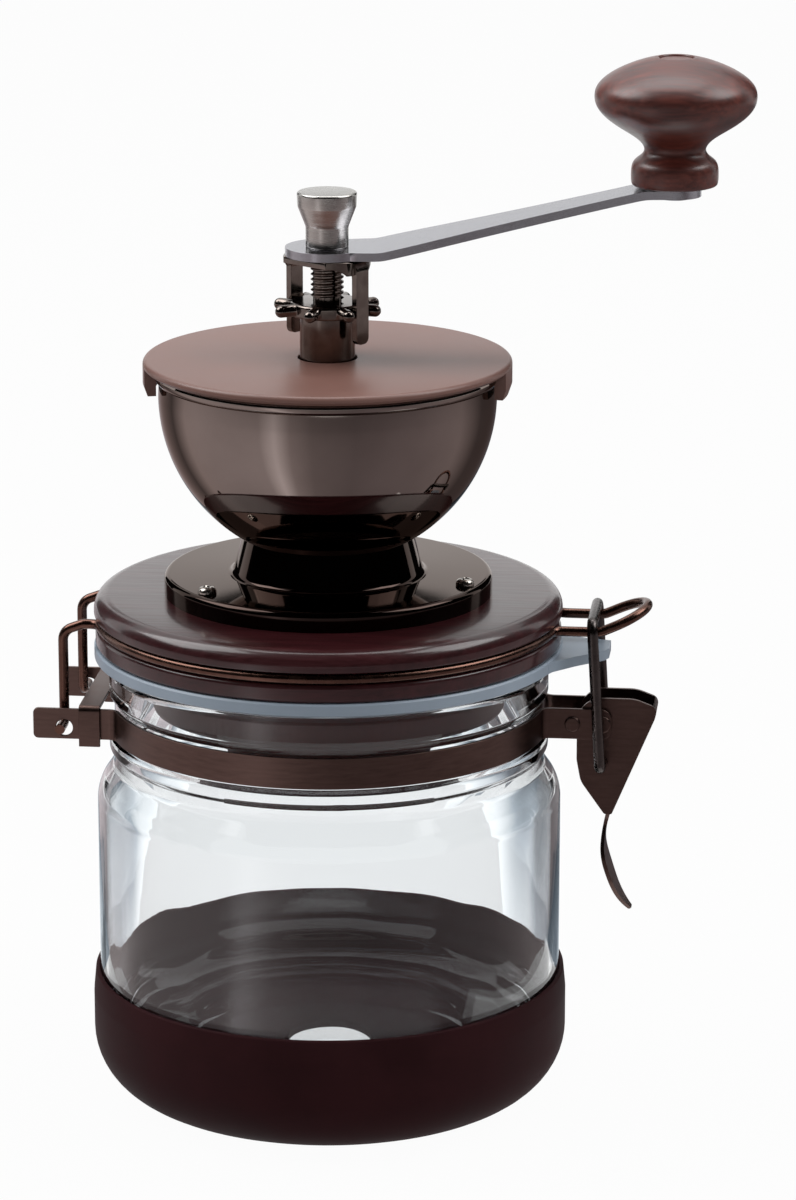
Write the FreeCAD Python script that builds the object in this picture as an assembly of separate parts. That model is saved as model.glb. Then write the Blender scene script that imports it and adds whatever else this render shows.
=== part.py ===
"""Hand crank coffee grinder on a clip-top jar, in millimetres, standing on z = 0 with +Z up.

The axis of jar, lid and crank is the Z axis. The latch is at +X and the lid hinge at -X.
Every function below builds one node, and each node is written to its own STEP file.
"""
import math
import os

import FreeCAD
import Part

os.makedirs("parts", exist_ok=True)

# Driving dimensions: base sleeve and jar
SLEEVE_R = 58.0
SLEEVE_TOP = 31.0
SLEEVE_CORNER = 16.0
SLEEVE_HOLE_R = 10.5
JAR_R = 56.3
JAR_FLOOR_Z = 13.5
JAR_WALL = 3.4
NECK_R = 51.9
LIP_R = 53.2
MOUTH_R = 47.6
LIP_TOP = 108.95

# Driving dimensions: neck strap, hinge and latch
STRAP_T = 0.9
STRAP_Z0 = 91.5
STRAP_Z1 = 99.0
STRAP_R = 52.45
TAIL_Y = 18.05
TAIL_X = -69.4
EAR_Y = 5.55
EAR_X = 69.0
HINGE_X = -62.6
HINGE_Z = 94.3
TAIL_HOLE_R = 2.05
TAIL_HOLE_SHIFT = 0.75
RIVET_X = 59.6
RIVET_R = 0.8
PIVOT_X = 66.8
PIVOT_Z = 95.3
BAIL_FOOT_X = 66.6
BAIL_FOOT_Z = 85.3
BAIL_BAR_X = 64.4
BAIL_BAR_Z = 121.5
BAIL_LEG_Y = 11.0
BAIL_WIRE = 2.6
LEVER_PLATE_Y = 4.4
STUD_END_Y = 6.6
LEVER_T = 0.8

# Driving dimensions: lid, lid wire and gasket
LID_R = 56.5
LID_TOP = 127.1
LID_BOTTOM = 113.15
WIRE_D = 2.4
WIRE_RING_R = 55.4
WIRE_Z = 118.95
WIRE_LEG_Y = 13.6
LEG_KNEE_X = -57.6
LEG_DROP = 1.8
NOSE_Y = 8.2
NOSE_TILT = 24.0
GASKET_Z = 109.0

# Driving dimensions: hopper and cover
BOWL_R = 39.5
BOWL_CENTRE_Z = 174.0
SHEET = 1.0
FLANGE_R = 39.5
FLANGE_TOP = 130.3
SCREW_PCD_R = 35.5
SCREW_AZIMUTHS = (-137.0, -17.0, 103.0)
COVER_R = 44.0
COVER_TOP = 182.8
COVER_TAB_AZIMUTH = 3.0
COVER_TAB_HALF = 13.5
COVER_HOLE_R = 7.1

# Driving dimensions: crank
SHAFT_R = 4.0
THREAD_ROOT_R = 3.4
THREAD_PITCH = 1.25
NUT_BOTTOM = 181.6
ARM_Z = 209.5
ARM_RISE = 13.4
ARM_T = 2.0
ARM_AZIMUTH = 9.0
CRANK_R = 82.3
STOPPER_AZIMUTH = -36.0
LOBE_AZIMUTH = -13.5
KNOB_BOTTOM = 223.2

V = FreeCAD.Vector
UP = V(0, 0, 1)
ALONG_Y = V(0, 1, 0)
ORIGIN = V(0, 0, 0)


def in_xz(a, b):
    """Point of a side profile: radius or x first, height second."""
    return V(a, 0, b)


def in_xy(a, b):
    """Point of a plan outline."""
    return V(a, b, 0)


def rounded_wire(corners, place, closed=True):
    """Wire through corners given as (a, b) or (a, b, radius), each radius rounding its corner."""
    points = []
    for corner in corners:
        radius = corner[2] if len(corner) > 2 else 0.0
        points.append((place(corner[0], corner[1]), radius))
    return rounded_path(points, closed)


def rounded_path(points, closed=False):
    """Wire through (point, radius) pairs in space, with an arc at every corner that has a radius."""
    count = len(points)
    entries = []
    for i, (point, radius) in enumerate(points):
        at_end = not closed and i in (0, count - 1)
        if radius <= 0 or at_end:
            entries.append((point, None, point))
            continue
        back = (points[i - 1][0] - point).normalize()
        ahead = (points[(i + 1) % count][0] - point).normalize()
        half = math.acos(max(-1.0, min(1.0, back.dot(ahead)))) / 2
        reach = radius / math.tan(half)
        inward = (back + ahead).normalize()
        middle = point + inward * (radius / math.sin(half) - radius)
        entries.append((point + back * reach, middle, point + ahead * reach))
    edges = []
    for i, (start, middle, end) in enumerate(entries):
        if middle is not None:
            edges.append(Part.Arc(start, middle, end).toShape())
        if i == count - 1 and not closed:
            break
        following = entries[(i + 1) % count][0]
        if end.distanceToPoint(following) > 1e-6:
            edges.append(Part.makeLine(end, following))
    return Part.Wire(edges)


def turned(corners):
    """Solid of revolution about Z from a rounded side profile."""
    face = Part.Face(rounded_wire(corners, in_xz))
    return face.revolve(ORIGIN, UP, 360)


def plate_xz(corners, y0, y1):
    """Flat plate with its outline in the XZ plane, between two values of y."""
    face = Part.Face(rounded_wire(corners, in_xz))
    face.translate(V(0, y0, 0))
    return face.extrude(V(0, y1 - y0, 0))


def plate_xy(corners, z0, z1):
    """Flat plate with its outline in plan, between two heights."""
    face = Part.Face(rounded_wire(corners, in_xy))
    face.translate(V(0, 0, z0))
    return face.extrude(V(0, 0, z1 - z0))


def disc(radius, z0, z1, x=0.0, y=0.0):
    """Upright cylinder between two heights."""
    return Part.makeCylinder(radius, z1 - z0, V(x, y, z0))


def rod_y(radius, x, z, y0, y1):
    """Cylinder along Y."""
    return Part.makeCylinder(radius, y1 - y0, V(x, y0, z), ALONG_Y)


def around(shape, degrees):
    """Copy of a shape turned about the Z axis."""
    copy = shape.copy()
    copy.rotate(ORIGIN, UP, degrees)
    return copy


def joined(shapes):
    """One solid from overlapping solids."""
    return shapes[0].fuse(shapes[1:]).removeSplitter()


def rod_along(path, diameter):
    """Round wire that follows a path."""
    first = path.OrderedEdges[0]
    start = first.valueAt(first.FirstParameter)
    heading = first.tangentAt(first.FirstParameter)
    circle = Part.Wire(Part.makeCircle(diameter / 2, start, heading))
    rod = path.makePipeShell([circle], True, False)
    return rod if rod.ShapeType == "Solid" else Part.Solid(rod)


def strip_along(path, thickness, z0, z1):
    """Flat strip standing on edge that follows a plan path, between two heights."""
    first = path.OrderedEdges[0]
    start = first.valueAt(first.FirstParameter)
    heading = first.tangentAt(first.FirstParameter)
    side = heading.cross(UP).normalize() * (thickness / 2)
    low = V(0, 0, z0)
    high = V(0, 0, z1)
    corners = [start + side + low, start - side + low, start - side + high, start + side + high]
    section = Part.makePolygon(corners + corners[:1])
    strip = path.makePipeShell([section], True, False)
    return strip if strip.ShapeType == "Solid" else Part.Solid(strip)


def coil(pitch, height, radius, section):
    """Solid that a section makes along a helix about Z, started at the section's own place."""
    helix = Part.makeHelix(pitch, height, radius)
    thread = Part.Wire(helix).makePipeShell([section], True, True)
    return thread if thread.ShapeType == "Solid" else Part.Solid(thread)


def base_sleeve():
    """Soft sleeve that the jar stands in, open at the centre of its floor."""
    wall = SLEEVE_R - JAR_R - 0.05
    return turned([
        (SLEEVE_HOLE_R, 0.0, 0.5),
        (SLEEVE_R, 0.0, SLEEVE_CORNER),
        (SLEEVE_R, SLEEVE_TOP - 6.0, 8.0),
        (SLEEVE_R - 0.6, SLEEVE_TOP, 0.5),
        (SLEEVE_R - wall, SLEEVE_TOP, 0.3),
        (SLEEVE_R - wall, 1.85, SLEEVE_CORNER - wall),
        (SLEEVE_HOLE_R, 1.85, 0.4),
    ])


def glass_jar():
    """Blown jar: thick floor, straight body, shoulder, bead, strap groove and rolled lip."""
    inner = JAR_R - JAR_WALL
    return turned([
        (0.0, 1.9),
        (JAR_R, 1.9, SLEEVE_CORNER - 1.7),
        (JAR_R, 77.2, 9.0),
        (NECK_R + 0.2, 83.2, 3.0),
        (NECK_R + 0.2, 86.3, 0.8),
        (NECK_R + 1.3, 87.6, 1.2),
        (NECK_R + 1.3, 90.0, 1.2),
        (NECK_R, 91.0, 0.6),
        (NECK_R, 99.6, 0.6),
        (LIP_R, 101.2, 1.5),
        (LIP_R, LIP_TOP, 2.2),
        (MOUTH_R, LIP_TOP, 2.0),
        (MOUTH_R, 83.0, 10.0),
        (inner, 74.5, 9.0),
        (inner, JAR_FLOOR_Z - 1.0, 11.0),
        (30.0, JAR_FLOOR_Z - 0.6, 20.0),
        (0.0, JAR_FLOOR_Z + 1.4),
    ])


def strap_path(side):
    """Plan path of one strap half: latch ear, round the neck, hinge tail."""
    ear_bend = 2.5
    tail_bend = 3.0
    ear_c = EAR_Y + ear_bend
    ear_x = math.sqrt((STRAP_R + ear_bend) ** 2 - ear_c ** 2)
    ear_k = STRAP_R / (STRAP_R + ear_bend)
    tail_c = TAIL_Y + tail_bend
    tail_x = math.sqrt((STRAP_R + tail_bend) ** 2 - tail_c ** 2)
    tail_k = STRAP_R / (STRAP_R + tail_bend)
    ear_centre = V(ear_x, side * ear_c, 0)
    tail_centre = V(-tail_x, side * tail_c, 0)
    ear_line_end = V(ear_x, side * EAR_Y, 0)
    ear_on_neck = ear_centre * ear_k
    tail_on_neck = tail_centre * tail_k
    tail_line_end = V(-tail_x, side * TAIL_Y, 0)
    ear_in = ((ear_line_end - ear_centre).normalize() + (ear_on_neck - ear_centre).normalize()).normalize()
    tail_in = ((tail_line_end - tail_centre).normalize() + (tail_on_neck - tail_centre).normalize()).normalize()
    return Part.Wire([
        Part.makeLine(V(EAR_X, side * EAR_Y, 0), ear_line_end),
        Part.Arc(ear_line_end, ear_centre + ear_in * ear_bend, ear_on_neck).toShape(),
        Part.Arc(ear_on_neck, V(0, side * STRAP_R, 0), tail_on_neck).toShape(),
        Part.Arc(tail_on_neck, tail_centre + tail_in * tail_bend, tail_line_end).toShape(),
        Part.makeLine(tail_line_end, V(TAIL_X, side * TAIL_Y, 0)),
    ])


def strap(side):
    """One half of the neck strap, with its holes and clipped ends."""
    band = strip_along(strap_path(side), STRAP_T, STRAP_Z0, STRAP_Z1)
    middle = (STRAP_Z0 + STRAP_Z1) / 2
    reach = 2.0
    outline = [
        (TAIL_X, STRAP_Z0, 1.2),
        (EAR_X, STRAP_Z0, 2.6),
        (EAR_X, STRAP_Z1, 2.6),
        (TAIL_X, STRAP_Z1, 1.2),
    ]
    band = band.common(plate_xz(outline, -60.0, 60.0))
    hole_x = HINGE_X + TAIL_HOLE_SHIFT
    tail_hole = rod_y(TAIL_HOLE_R, hole_x, HINGE_Z, side * TAIL_Y - reach, side * TAIL_Y + reach)
    rivet_hole = rod_y(RIVET_R, RIVET_X, middle, side * EAR_Y - reach, side * EAR_Y + reach)
    pivot_hole = rod_y(1.3, PIVOT_X, PIVOT_Z, side * EAR_Y - reach, side * EAR_Y + reach)
    return band.cut([tail_hole, rivet_hole, pivot_hole])


def hinge_clip():
    """Folded clip over both hinge tails, with a rounded fold at each side."""
    outside = TAIL_Y + STRAP_T / 2 + 0.05
    top = STRAP_Z1 + 0.05
    gauge = 0.9
    section = [
        (-outside - gauge, 89.9, 0.0),
        (-outside - gauge, top + gauge, 1.4),
        (outside + gauge, top + gauge, 1.4),
        (outside + gauge, 89.9, 0.0),
        (outside, 89.9, 0.0),
        (outside, top, 0.1),
        (-outside, top, 0.1),
        (-outside, 89.9, 0.0),
    ]
    wire = rounded_wire(section, lambda a, b: V(-58.2, a, b))
    return Part.Face(wire).extrude(V(5.1, 0, 0))


def headed_pin(radius, head_r, x, z, inner, head):
    """Pin along Y with a domed head at each end."""
    shank = rod_y(radius, x, z, -inner - 0.1, inner + 0.1)
    parts = [shank]
    for side in (-1, 1):
        profile = [(0.0, inner), (head_r, inner), (head_r, inner + head, head * 0.8), (0.0, inner + head)]
        button = turned(profile)
        button.rotate(ORIGIN, V(1, 0, 0), -90 * side)
        button.translate(V(x, 0, z))
        parts.append(button)
    return joined(parts)


def ear_rivet():
    """Rivet through both latch ears."""
    return headed_pin(RIVET_R, 1.9, RIVET_X, (STRAP_Z0 + STRAP_Z1) / 2, EAR_Y + STRAP_T / 2, 0.6)


def lever_pivot():
    """Pivot pin of the lever, headed outside the ears."""
    return headed_pin(1.3, 2.1, PIVOT_X, PIVOT_Z, EAR_Y + STRAP_T / 2, 0.5)


def latch_lever():
    """Channel of two side plates and an outer spine that narrows and opens into a leaf tab."""
    side_outline = [
        (60.6, 101.5, 6.2),
        (74.5, 101.5, 9.0),
        (80.0, 99.4, 2.0),
        (79.3, 96.6, 2.0),
        (69.2, 72.4, 0.6),
        (67.4, 72.4, 1.0),
        (61.6, 80.6, 6.0),
        (60.6, 86.0, 4.0),
    ]
    outer = LEVER_PLATE_Y + LEVER_T / 2
    inner = LEVER_PLATE_Y - LEVER_T / 2
    channel = plate_xz(side_outline, -outer, outer)
    hollow_outline = [
        (50.0, 110.0),
        (78.9, 110.0),
        (78.9, 97.2, 1.4),
        (68.9, 73.2),
        (68.0, 60.0),
        (50.0, 60.0),
    ]
    channel = channel.cut(plate_xz(hollow_outline, -inner, inner))
    channel = channel.cut(rod_y(1.37, PIVOT_X, PIVOT_Z, -10.0, 10.0))
    studs = []
    for side in (-1, 1):
        near = min(side * inner, side * STUD_END_Y)
        far = max(side * inner, side * STUD_END_Y)
        studs.append(rod_y(BAIL_WIRE / 2 + 0.3, BAIL_FOOT_X, BAIL_FOOT_Z, near, far))
    front_line = [(69.6, 74.6), (67.7, 67.2), (67.5, 63.2), (68.9, 57.4), (71.2, 51.6), (74.1, 47.6)]
    back_line = [(68.6, 74.9), (66.8, 67.3), (66.6, 63.0), (68.0, 57.0), (70.4, 51.1), (73.5, 47.0)]
    outside_edge = Part.BSplineCurve()
    outside_edge.interpolate([in_xz(a, b) for a, b in front_line])
    inside_edge = Part.BSplineCurve()
    inside_edge.interpolate([in_xz(a, b) for a, b in reversed(back_line)])
    tip = Part.makeLine(in_xz(*front_line[-1]), in_xz(*back_line[-1]))
    root = Part.makeLine(in_xz(*back_line[0]), in_xz(*front_line[0]))
    sheet = Part.Face(Part.Wire([outside_edge.toShape(), tip, inside_edge.toShape(), root]))
    sheet.translate(V(0, -6, 0))
    sheet = sheet.extrude(V(0, 12, 0))
    half = [(outer, 76.0), (2.4, 71.6), (1.7, 69.0), (2.6, 66.4), (5.0, 62.0), (5.3, 57.5), (3.6, 51.5),
            (0.9, 47.2)]
    right_edge = Part.BSplineCurve()
    right_edge.interpolate([V(0, a, b) for a, b in half])
    left_edge = Part.BSplineCurve()
    left_edge.interpolate([V(0, -a, b) for a, b in reversed(half)])
    end = Part.makeLine(V(0, half[-1][0], half[-1][1]), V(0, -half[-1][0], half[-1][1]))
    start = Part.makeLine(V(0, -half[0][0], half[0][1]), V(0, half[0][0], half[0][1]))
    leaf = Part.Face(Part.Wire([right_edge.toShape(), end, left_edge.toShape(), start]))
    leaf.translate(V(50, 0, 0))
    leaf = leaf.extrude(V(40, 0, 0))
    return joined([channel, sheet.common(leaf)] + studs)


def latch_bail():
    """Wire loop: feet at the lever, two legs, and a bar over the nose of the lid wire."""
    foot = STUD_END_Y + 0.35
    points = [
        (V(BAIL_FOOT_X, -foot, BAIL_FOOT_Z), 0.0),
        (V(BAIL_FOOT_X, -BAIL_LEG_Y, BAIL_FOOT_Z), 2.2),
        (V(BAIL_BAR_X, -BAIL_LEG_Y, BAIL_BAR_Z), 2.6),
        (V(BAIL_BAR_X, BAIL_LEG_Y, BAIL_BAR_Z), 2.6),
        (V(BAIL_FOOT_X, BAIL_LEG_Y, BAIL_FOOT_Z), 2.2),
        (V(BAIL_FOOT_X, foot, BAIL_FOOT_Z), 0.0),
    ]
    return rod_along(rounded_path(points), BAIL_WIRE)


def bend_on_ring(x_sign, y_sign, line_y, bend):
    """Bend that takes a wire from the line y = line_y on to the ring: both ends and the middle."""
    centre_y = line_y + bend
    centre_x = math.sqrt((WIRE_RING_R + bend) ** 2 - centre_y ** 2)
    centre = V(x_sign * centre_x, y_sign * centre_y, WIRE_Z)
    on_line = V(x_sign * centre_x, y_sign * line_y, WIRE_Z)
    shrink = WIRE_RING_R / (WIRE_RING_R + bend)
    on_ring = V(centre.x * shrink, centre.y * shrink, WIRE_Z)
    inward = ((on_line - centre).normalize() + (on_ring - centre).normalize()).normalize()
    return on_line, centre + inward * bend, on_ring


def lid_wire():
    """One bent wire: hinge foot, leg, ring in the lid's groove, upturned nose, and back."""
    tilt = math.radians(NOSE_TILT)
    heading = V(math.cos(tilt), 0, math.sin(tilt))
    knee = V(66.2, 0, WIRE_Z)
    knee_r = 5.0
    knee_reach = knee_r * math.tan(tilt / 2)
    knee_lift = knee_r / math.cos(tilt / 2) - knee_r
    knee_up = V(-math.sin(tilt / 2), 0, math.cos(tilt / 2))
    loop_centre = knee + heading * 3.6

    def half(side):
        nose_line, nose_mid, nose_ring = bend_on_ring(1, side, NOSE_Y, 3.0)
        leg_line, leg_mid, leg_ring = bend_on_ring(-1, side, WIRE_LEG_Y, 3.0)
        at_side = V(0, side * NOSE_Y, 0)
        knee_in = knee + at_side - V(knee_reach, 0, 0)
        knee_out = knee + at_side + heading * knee_reach
        knee_mid = knee + at_side + knee_up * knee_lift
        loop_end = loop_centre + at_side
        leg = rounded_path([
            (leg_line, 0.0),
            (V(LEG_KNEE_X, side * WIRE_LEG_Y, WIRE_Z), 3.0),
            (V(HINGE_X, side * WIRE_LEG_Y, WIRE_Z - LEG_DROP), 3.2),
            (V(HINGE_X, side * WIRE_LEG_Y, HINGE_Z), 2.0),
            (V(HINGE_X, side * (TAIL_Y + 2.3), HINGE_Z), 0.0),
        ])
        out = [
            Part.makeLine(loop_end, knee_out),
            Part.Arc(knee_out, knee_mid, knee_in).toShape(),
            Part.makeLine(knee_in, nose_line),
            Part.Arc(nose_line, nose_mid, nose_ring).toShape(),
            Part.Arc(nose_ring, V(0, side * WIRE_RING_R, WIRE_Z), leg_ring).toShape(),
            Part.Arc(leg_ring, leg_mid, leg_line).toShape(),
        ]
        return out + leg.OrderedEdges, loop_end

    front, front_end = half(-1)
    rear, rear_end = half(1)
    edges = list(reversed(front))
    edges.append(Part.Arc(front_end, loop_centre + heading * NOSE_Y, rear_end).toShape())
    edges += rear
    return rod_along(Part.Wire(edges), WIRE_D)


def wood_lid():
    """Turned wooden lid: upper disc, wire groove, lower disc, bean hole and pilot holes."""
    groove_r = WIRE_RING_R - WIRE_D / 2 - 0.02
    body = turned([
        (20.0, LID_BOTTOM),
        (LID_R - 0.3, LID_BOTTOM, 1.1),
        (LID_R - 0.3, WIRE_Z - 1.35, 1.1),
        (groove_r, WIRE_Z - 1.35, 0.6),
        (groove_r, WIRE_Z + 1.35, 0.6),
        (LID_R, WIRE_Z + 1.35, 0.7),
        (LID_R, LID_TOP, 3.2),
        (20.0, LID_TOP, 0.5),
    ])
    holes = []
    for azimuth in SCREW_AZIMUTHS:
        holes.append(around(disc(1.25, LID_TOP - 8.0, LID_TOP + 1.0, SCREW_PCD_R), azimuth))
        holes.append(around(disc(1.55, LID_BOTTOM - 1.0, LID_BOTTOM + 9.0, 34.0), azimuth + 60.0))
    return body.cut(holes)


def gasket():
    """Soft sealing ring with a pull tab beside the latch."""
    ring = turned([
        (44.3, GASKET_Z, 0.6),
        (53.6, GASKET_Z, 1.5),
        (56.6, LID_BOTTOM - 2.4, 1.6),
        (56.3, LID_BOTTOM - 0.05, 0.5),
        (44.3, LID_BOTTOM - 0.05, 0.6),
    ])
    tab = plate_xy([(46.0, -24.0), (60.5, -8.0, 3.0), (68.0, -1.5, 3.5), (68.0, 8.0, 3.5), (61.5, 8.8, 2.0),
                    (46.0, 18.0)], 110.4, 112.7)
    tab = tab.cut(disc(46.0, 100.0, 120.0))
    return joined([ring, tab])


def hopper_bowl():
    """Spun bowl with a curled rim and a short collar that enters the neck."""
    outer_low = 19.4
    inner_r = BOWL_R - SHEET
    inner_low = outer_low - 0.9
    z = BOWL_CENTRE_Z
    outer_z = z - math.sqrt(BOWL_R ** 2 - outer_low ** 2)
    inner_z = z - math.sqrt(inner_r ** 2 - inner_low ** 2)
    outer_mid = (math.asin(outer_low / BOWL_R) + math.pi / 2) / 2
    inner_mid = (math.asin(inner_low / inner_r) + math.pi / 2) / 2
    points = [in_xz(inner_low, 136.6), in_xz(outer_low, 136.6), in_xz(outer_low, outer_z)]
    on_outer = in_xz(BOWL_R * math.sin(outer_mid), z - BOWL_R * math.cos(outer_mid))
    on_inner = in_xz(inner_r * math.sin(inner_mid), z - inner_r * math.cos(inner_mid))
    rim = [in_xz(BOWL_R, z), in_xz(BOWL_R, 178.2), in_xz(40.7, 179.2), in_xz(BOWL_R, 180.2)]
    lip = [in_xz(inner_r + 0.5, 180.2), in_xz(inner_r + 0.1, 180.05), in_xz(inner_r, 179.7)]
    edges = [
        Part.makeLine(points[0], points[1]),
        Part.makeLine(points[1], points[2]),
        Part.Arc(points[2], on_outer, rim[0]).toShape(),
        Part.makeLine(rim[0], rim[1]),
        Part.Arc(rim[1], rim[2], rim[3]).toShape(),
        Part.makeLine(rim[3], lip[0]),
        Part.Arc(lip[0], lip[1], lip[2]).toShape(),
        Part.makeLine(lip[2], in_xz(inner_r, z)),
        Part.Arc(in_xz(inner_r, z), on_inner, in_xz(inner_low, inner_z)).toShape(),
        Part.makeLine(in_xz(inner_low, inner_z), points[0]),
    ]
    return Part.Face(Part.Wire(edges)).revolve(ORIGIN, UP, 360)


def hopper_base():
    """Neck and flange in one sheet, the flange edge turned down on to the lid."""
    body = turned([
        (20.5, 139.5, 0.4),
        (23.0, FLANGE_TOP, 1.6),
        (FLANGE_R, FLANGE_TOP, 1.4),
        (FLANGE_R, LID_TOP, 0.0),
        (FLANGE_R - SHEET, LID_TOP, 0.0),
        (FLANGE_R - SHEET, FLANGE_TOP - SHEET, 0.5),
        (22.0, FLANGE_TOP - SHEET, 2.4),
        (19.45, 139.5, 0.3),
    ])
    holes = [around(disc(1.4, 128.0, 132.0, SCREW_PCD_R), azimuth) for azimuth in SCREW_AZIMUTHS]
    return body.cut(holes)


def pan_screw(radius, head_r, head_h, seat, length, point_up=False):
    """Pan-head screw on the Z axis with a cross recess, its head resting on the seat height."""
    head = turned([(0.0, 0.0), (head_r, 0.0), (head_r, head_h, head_h * 0.75), (0.0, head_h)])
    point = -length + radius
    shank = turned([(0.0, -length), (radius * 0.4, -length), (radius, point), (radius, 0.1), (0.0, 0.1)])
    slot = Part.makeBox(head_r * 1.1, 0.5, 0.8, V(-head_r * 0.55, -0.25, head_h - 0.6))
    screw = joined([head, shank]).cut([slot, around(slot, 90)])
    if point_up:
        screw.rotate(ORIGIN, V(1, 0, 0), 180)
    screw.translate(V(0, 0, seat))
    return screw


def spread(shape, radius, azimuths):
    """Compound of copies of one solid round a circle."""
    copies = []
    for azimuth in azimuths:
        copy = shape.copy()
        copy.translate(V(radius, 0, 0))
        copies.append(around(copy, azimuth))
    return Part.makeCompound(copies)


def flange_screw():
    """Three screws that hold the hopper to the lid."""
    return spread(pan_screw(1.2, 2.2, 1.6, FLANGE_TOP, 9.0), SCREW_PCD_R, SCREW_AZIMUTHS)


def bearing_bridge():
    """Strip across the hopper, its ends folded down on to the bowl."""
    strip = plate_xz([
        (-38.4, 168.0), (-38.4, 177.0, 1.8), (38.4, 177.0, 1.8), (38.4, 168.0),
        (37.0, 168.0), (37.0, 175.6, 0.6), (-37.0, 175.6, 0.6), (-37.0, 168.0),
    ], -7.5, 7.5)
    room = turned([(0.0, 174.0), (38.45, 174.0), (38.45, 180.0), (0.0, 180.0)])
    ball = Part.makeSphere(38.45, V(0, 0, BOWL_CENTRE_Z))
    strip = strip.common(joined([room, ball]))
    return strip.cut(disc(5.4, 170.0, 180.0))


def upper_bush():
    """Flanged sleeve in the bridge that the adjusting nut bears on."""
    return turned([
        (SHAFT_R + 0.08, 173.4),
        (7.4, 173.4, 0.4),
        (7.4, 175.55),
        (5.38, 175.55),
        (5.38, NUT_BOTTOM - 0.1, 0.4),
        (SHAFT_R + 0.08, NUT_BOTTOM - 0.1, 0.3),
    ])


def hopper_cover():
    """Loose cover with a rounded edge and two hanging tabs outside the rim."""
    cover = turned([
        (COVER_HOLE_R, 180.3, 0.3),
        (40.9, 180.3),
        (40.9, 180.7),
        (COVER_R, 180.7, 0.8),
        (COVER_R, COVER_TOP, 1.2),
        (COVER_HOLE_R, COVER_TOP, 0.3),
    ])
    ring = turned([(41.2, 181.4), (41.2, 174.9, 0.3), (43.2, 174.9, 0.8), (COVER_R, 177.5), (COVER_R, 181.4)])
    far = 60.0
    spread_y = far * math.tan(math.radians(COVER_TAB_HALF))
    wedge = plate_xy([(0.0, 0.0), (far, -spread_y), (far, spread_y)], 170.0, 182.0)
    tabs = []
    for azimuth in (COVER_TAB_AZIMUTH, COVER_TAB_AZIMUTH + 180.0):
        tabs.append(ring.common(around(wedge, azimuth)))
    return joined([cover] + tabs)


def burr_holder():
    """Plug under the lid: a wide disc, a bean throat with a three-arm spider, and the burr cup."""
    top = LID_BOTTOM - 0.05
    body = turned([
        (17.0, top),
        (43.5, top, 0.6),
        (43.5, 98.8, 1.2),
        (40.5, 98.8, 1.0),
        (40.5, 109.0, 1.5),
        (27.5, 109.0, 2.0),
        (24.5, 104.0, 0.8),
        (24.5, 84.5),
        (20.55, 84.5),
        (20.55, 102.05),
        (17.0, 102.05),
    ])
    arm = Part.makeBox(13.0, 3.0, 6.0, V(5.0, -1.5, 106.0))
    hub = disc(7.2, 105.0, top)
    body = joined([body, hub, around(arm, 20), around(arm, 140), around(arm, 260)])
    cuts = [disc(5.4, 100.0, 120.0)]
    for azimuth in SCREW_AZIMUTHS:
        cuts.append(around(disc(1.7, 100.0, 120.0, 34.0), azimuth + 60.0))
        cuts.append(around(disc(0.9, 80.0, 91.0, 22.5), azimuth + 60.0))
    return body.cut(cuts)


def holder_screw():
    """Three screws from below that hold the burr holder to the lid."""
    azimuths = [azimuth + 60.0 for azimuth in SCREW_AZIMUTHS]
    return spread(pan_screw(1.5, 3.0, 2.0, 109.0, 11.0, True), 34.0, azimuths)


def lower_bush():
    """Plain sleeve in the spider."""
    return turned([(SHAFT_R + 0.08, 104.6), (5.38, 104.6, 0.3), (5.38, 113.0, 0.3), (SHAFT_R + 0.08, 113.0)])


def outer_burr():
    """Ceramic ring, flared towards the bottom, with cutting slots in its bore."""
    body = turned([
        (12.6, 102.0, 0.6),
        (20.5, 102.0, 0.5),
        (20.5, 84.55),
        (17.6, 84.55),
        (17.0, 88.5),
        (13.6, 98.0, 2.0),
    ])
    slots = []
    for i in range(12):
        slot = Part.makeBox(6.2, 1.8, 14.0, V(12.4, -0.9, 86.5))
        slot.rotate(V(12.4, 0, 86.5), ALONG_Y, -19.0)
        slots.append(around(slot, 30.0 * i))
    return body.cut(slots)


def burr_ring():
    """Ring that keeps the outer burr in its cup."""
    ring = turned([(19.0, 82.7, 0.4), (24.5, 82.7, 0.5), (24.5, 84.45), (19.0, 84.45)])
    return ring.cut([around(disc(1.1, 80.0, 90.0, 22.5), azimuth + 60.0) for azimuth in SCREW_AZIMUTHS])


def ring_screw():
    """Three small screws of the burr ring."""
    azimuths = [azimuth + 60.0 for azimuth in SCREW_AZIMUTHS]
    return spread(pan_screw(0.85, 1.7, 1.1, 82.7, 7.0, True), 22.5, azimuths)


def inner_burr():
    """Ceramic cone with slanting flutes."""
    cone = turned([
        (SHAFT_R + 0.05, 96.6),
        (8.0, 96.6, 0.8),
        (15.9, 87.8),
        (16.5, 85.0, 0.6),
        (SHAFT_R + 0.05, 85.0),
    ])
    flutes = []
    for i in range(9):
        flute = Part.makeBox(5.0, 2.2, 20.0, V(-0.4, -1.1, 0))
        flute.rotate(ORIGIN, ALONG_Y, -41.0)
        flute.rotate(ORIGIN, V(1, 0, 0), 14.0)
        flute.translate(V(16.4, 0, 85.8))
        flutes.append(around(flute, 40.0 * i))
    return cone.cut(flutes)


def burr_nut():
    """Six-sided nut under the inner burr."""
    corners = []
    for i in range(6):
        angle = math.radians(60.0 * i)
        corners.append((7.2 * math.cos(angle), 7.2 * math.sin(angle)))
    hexagon = plate_xy(corners, 80.6, 84.95)
    crown = turned([(0.0, 80.6), (6.4, 80.6), (7.3, 81.5), (7.3, 84.95), (0.0, 84.95)])
    return hexagon.common(crown).cut(disc(SHAFT_R + 0.02, 80.0, 86.0))


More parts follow.
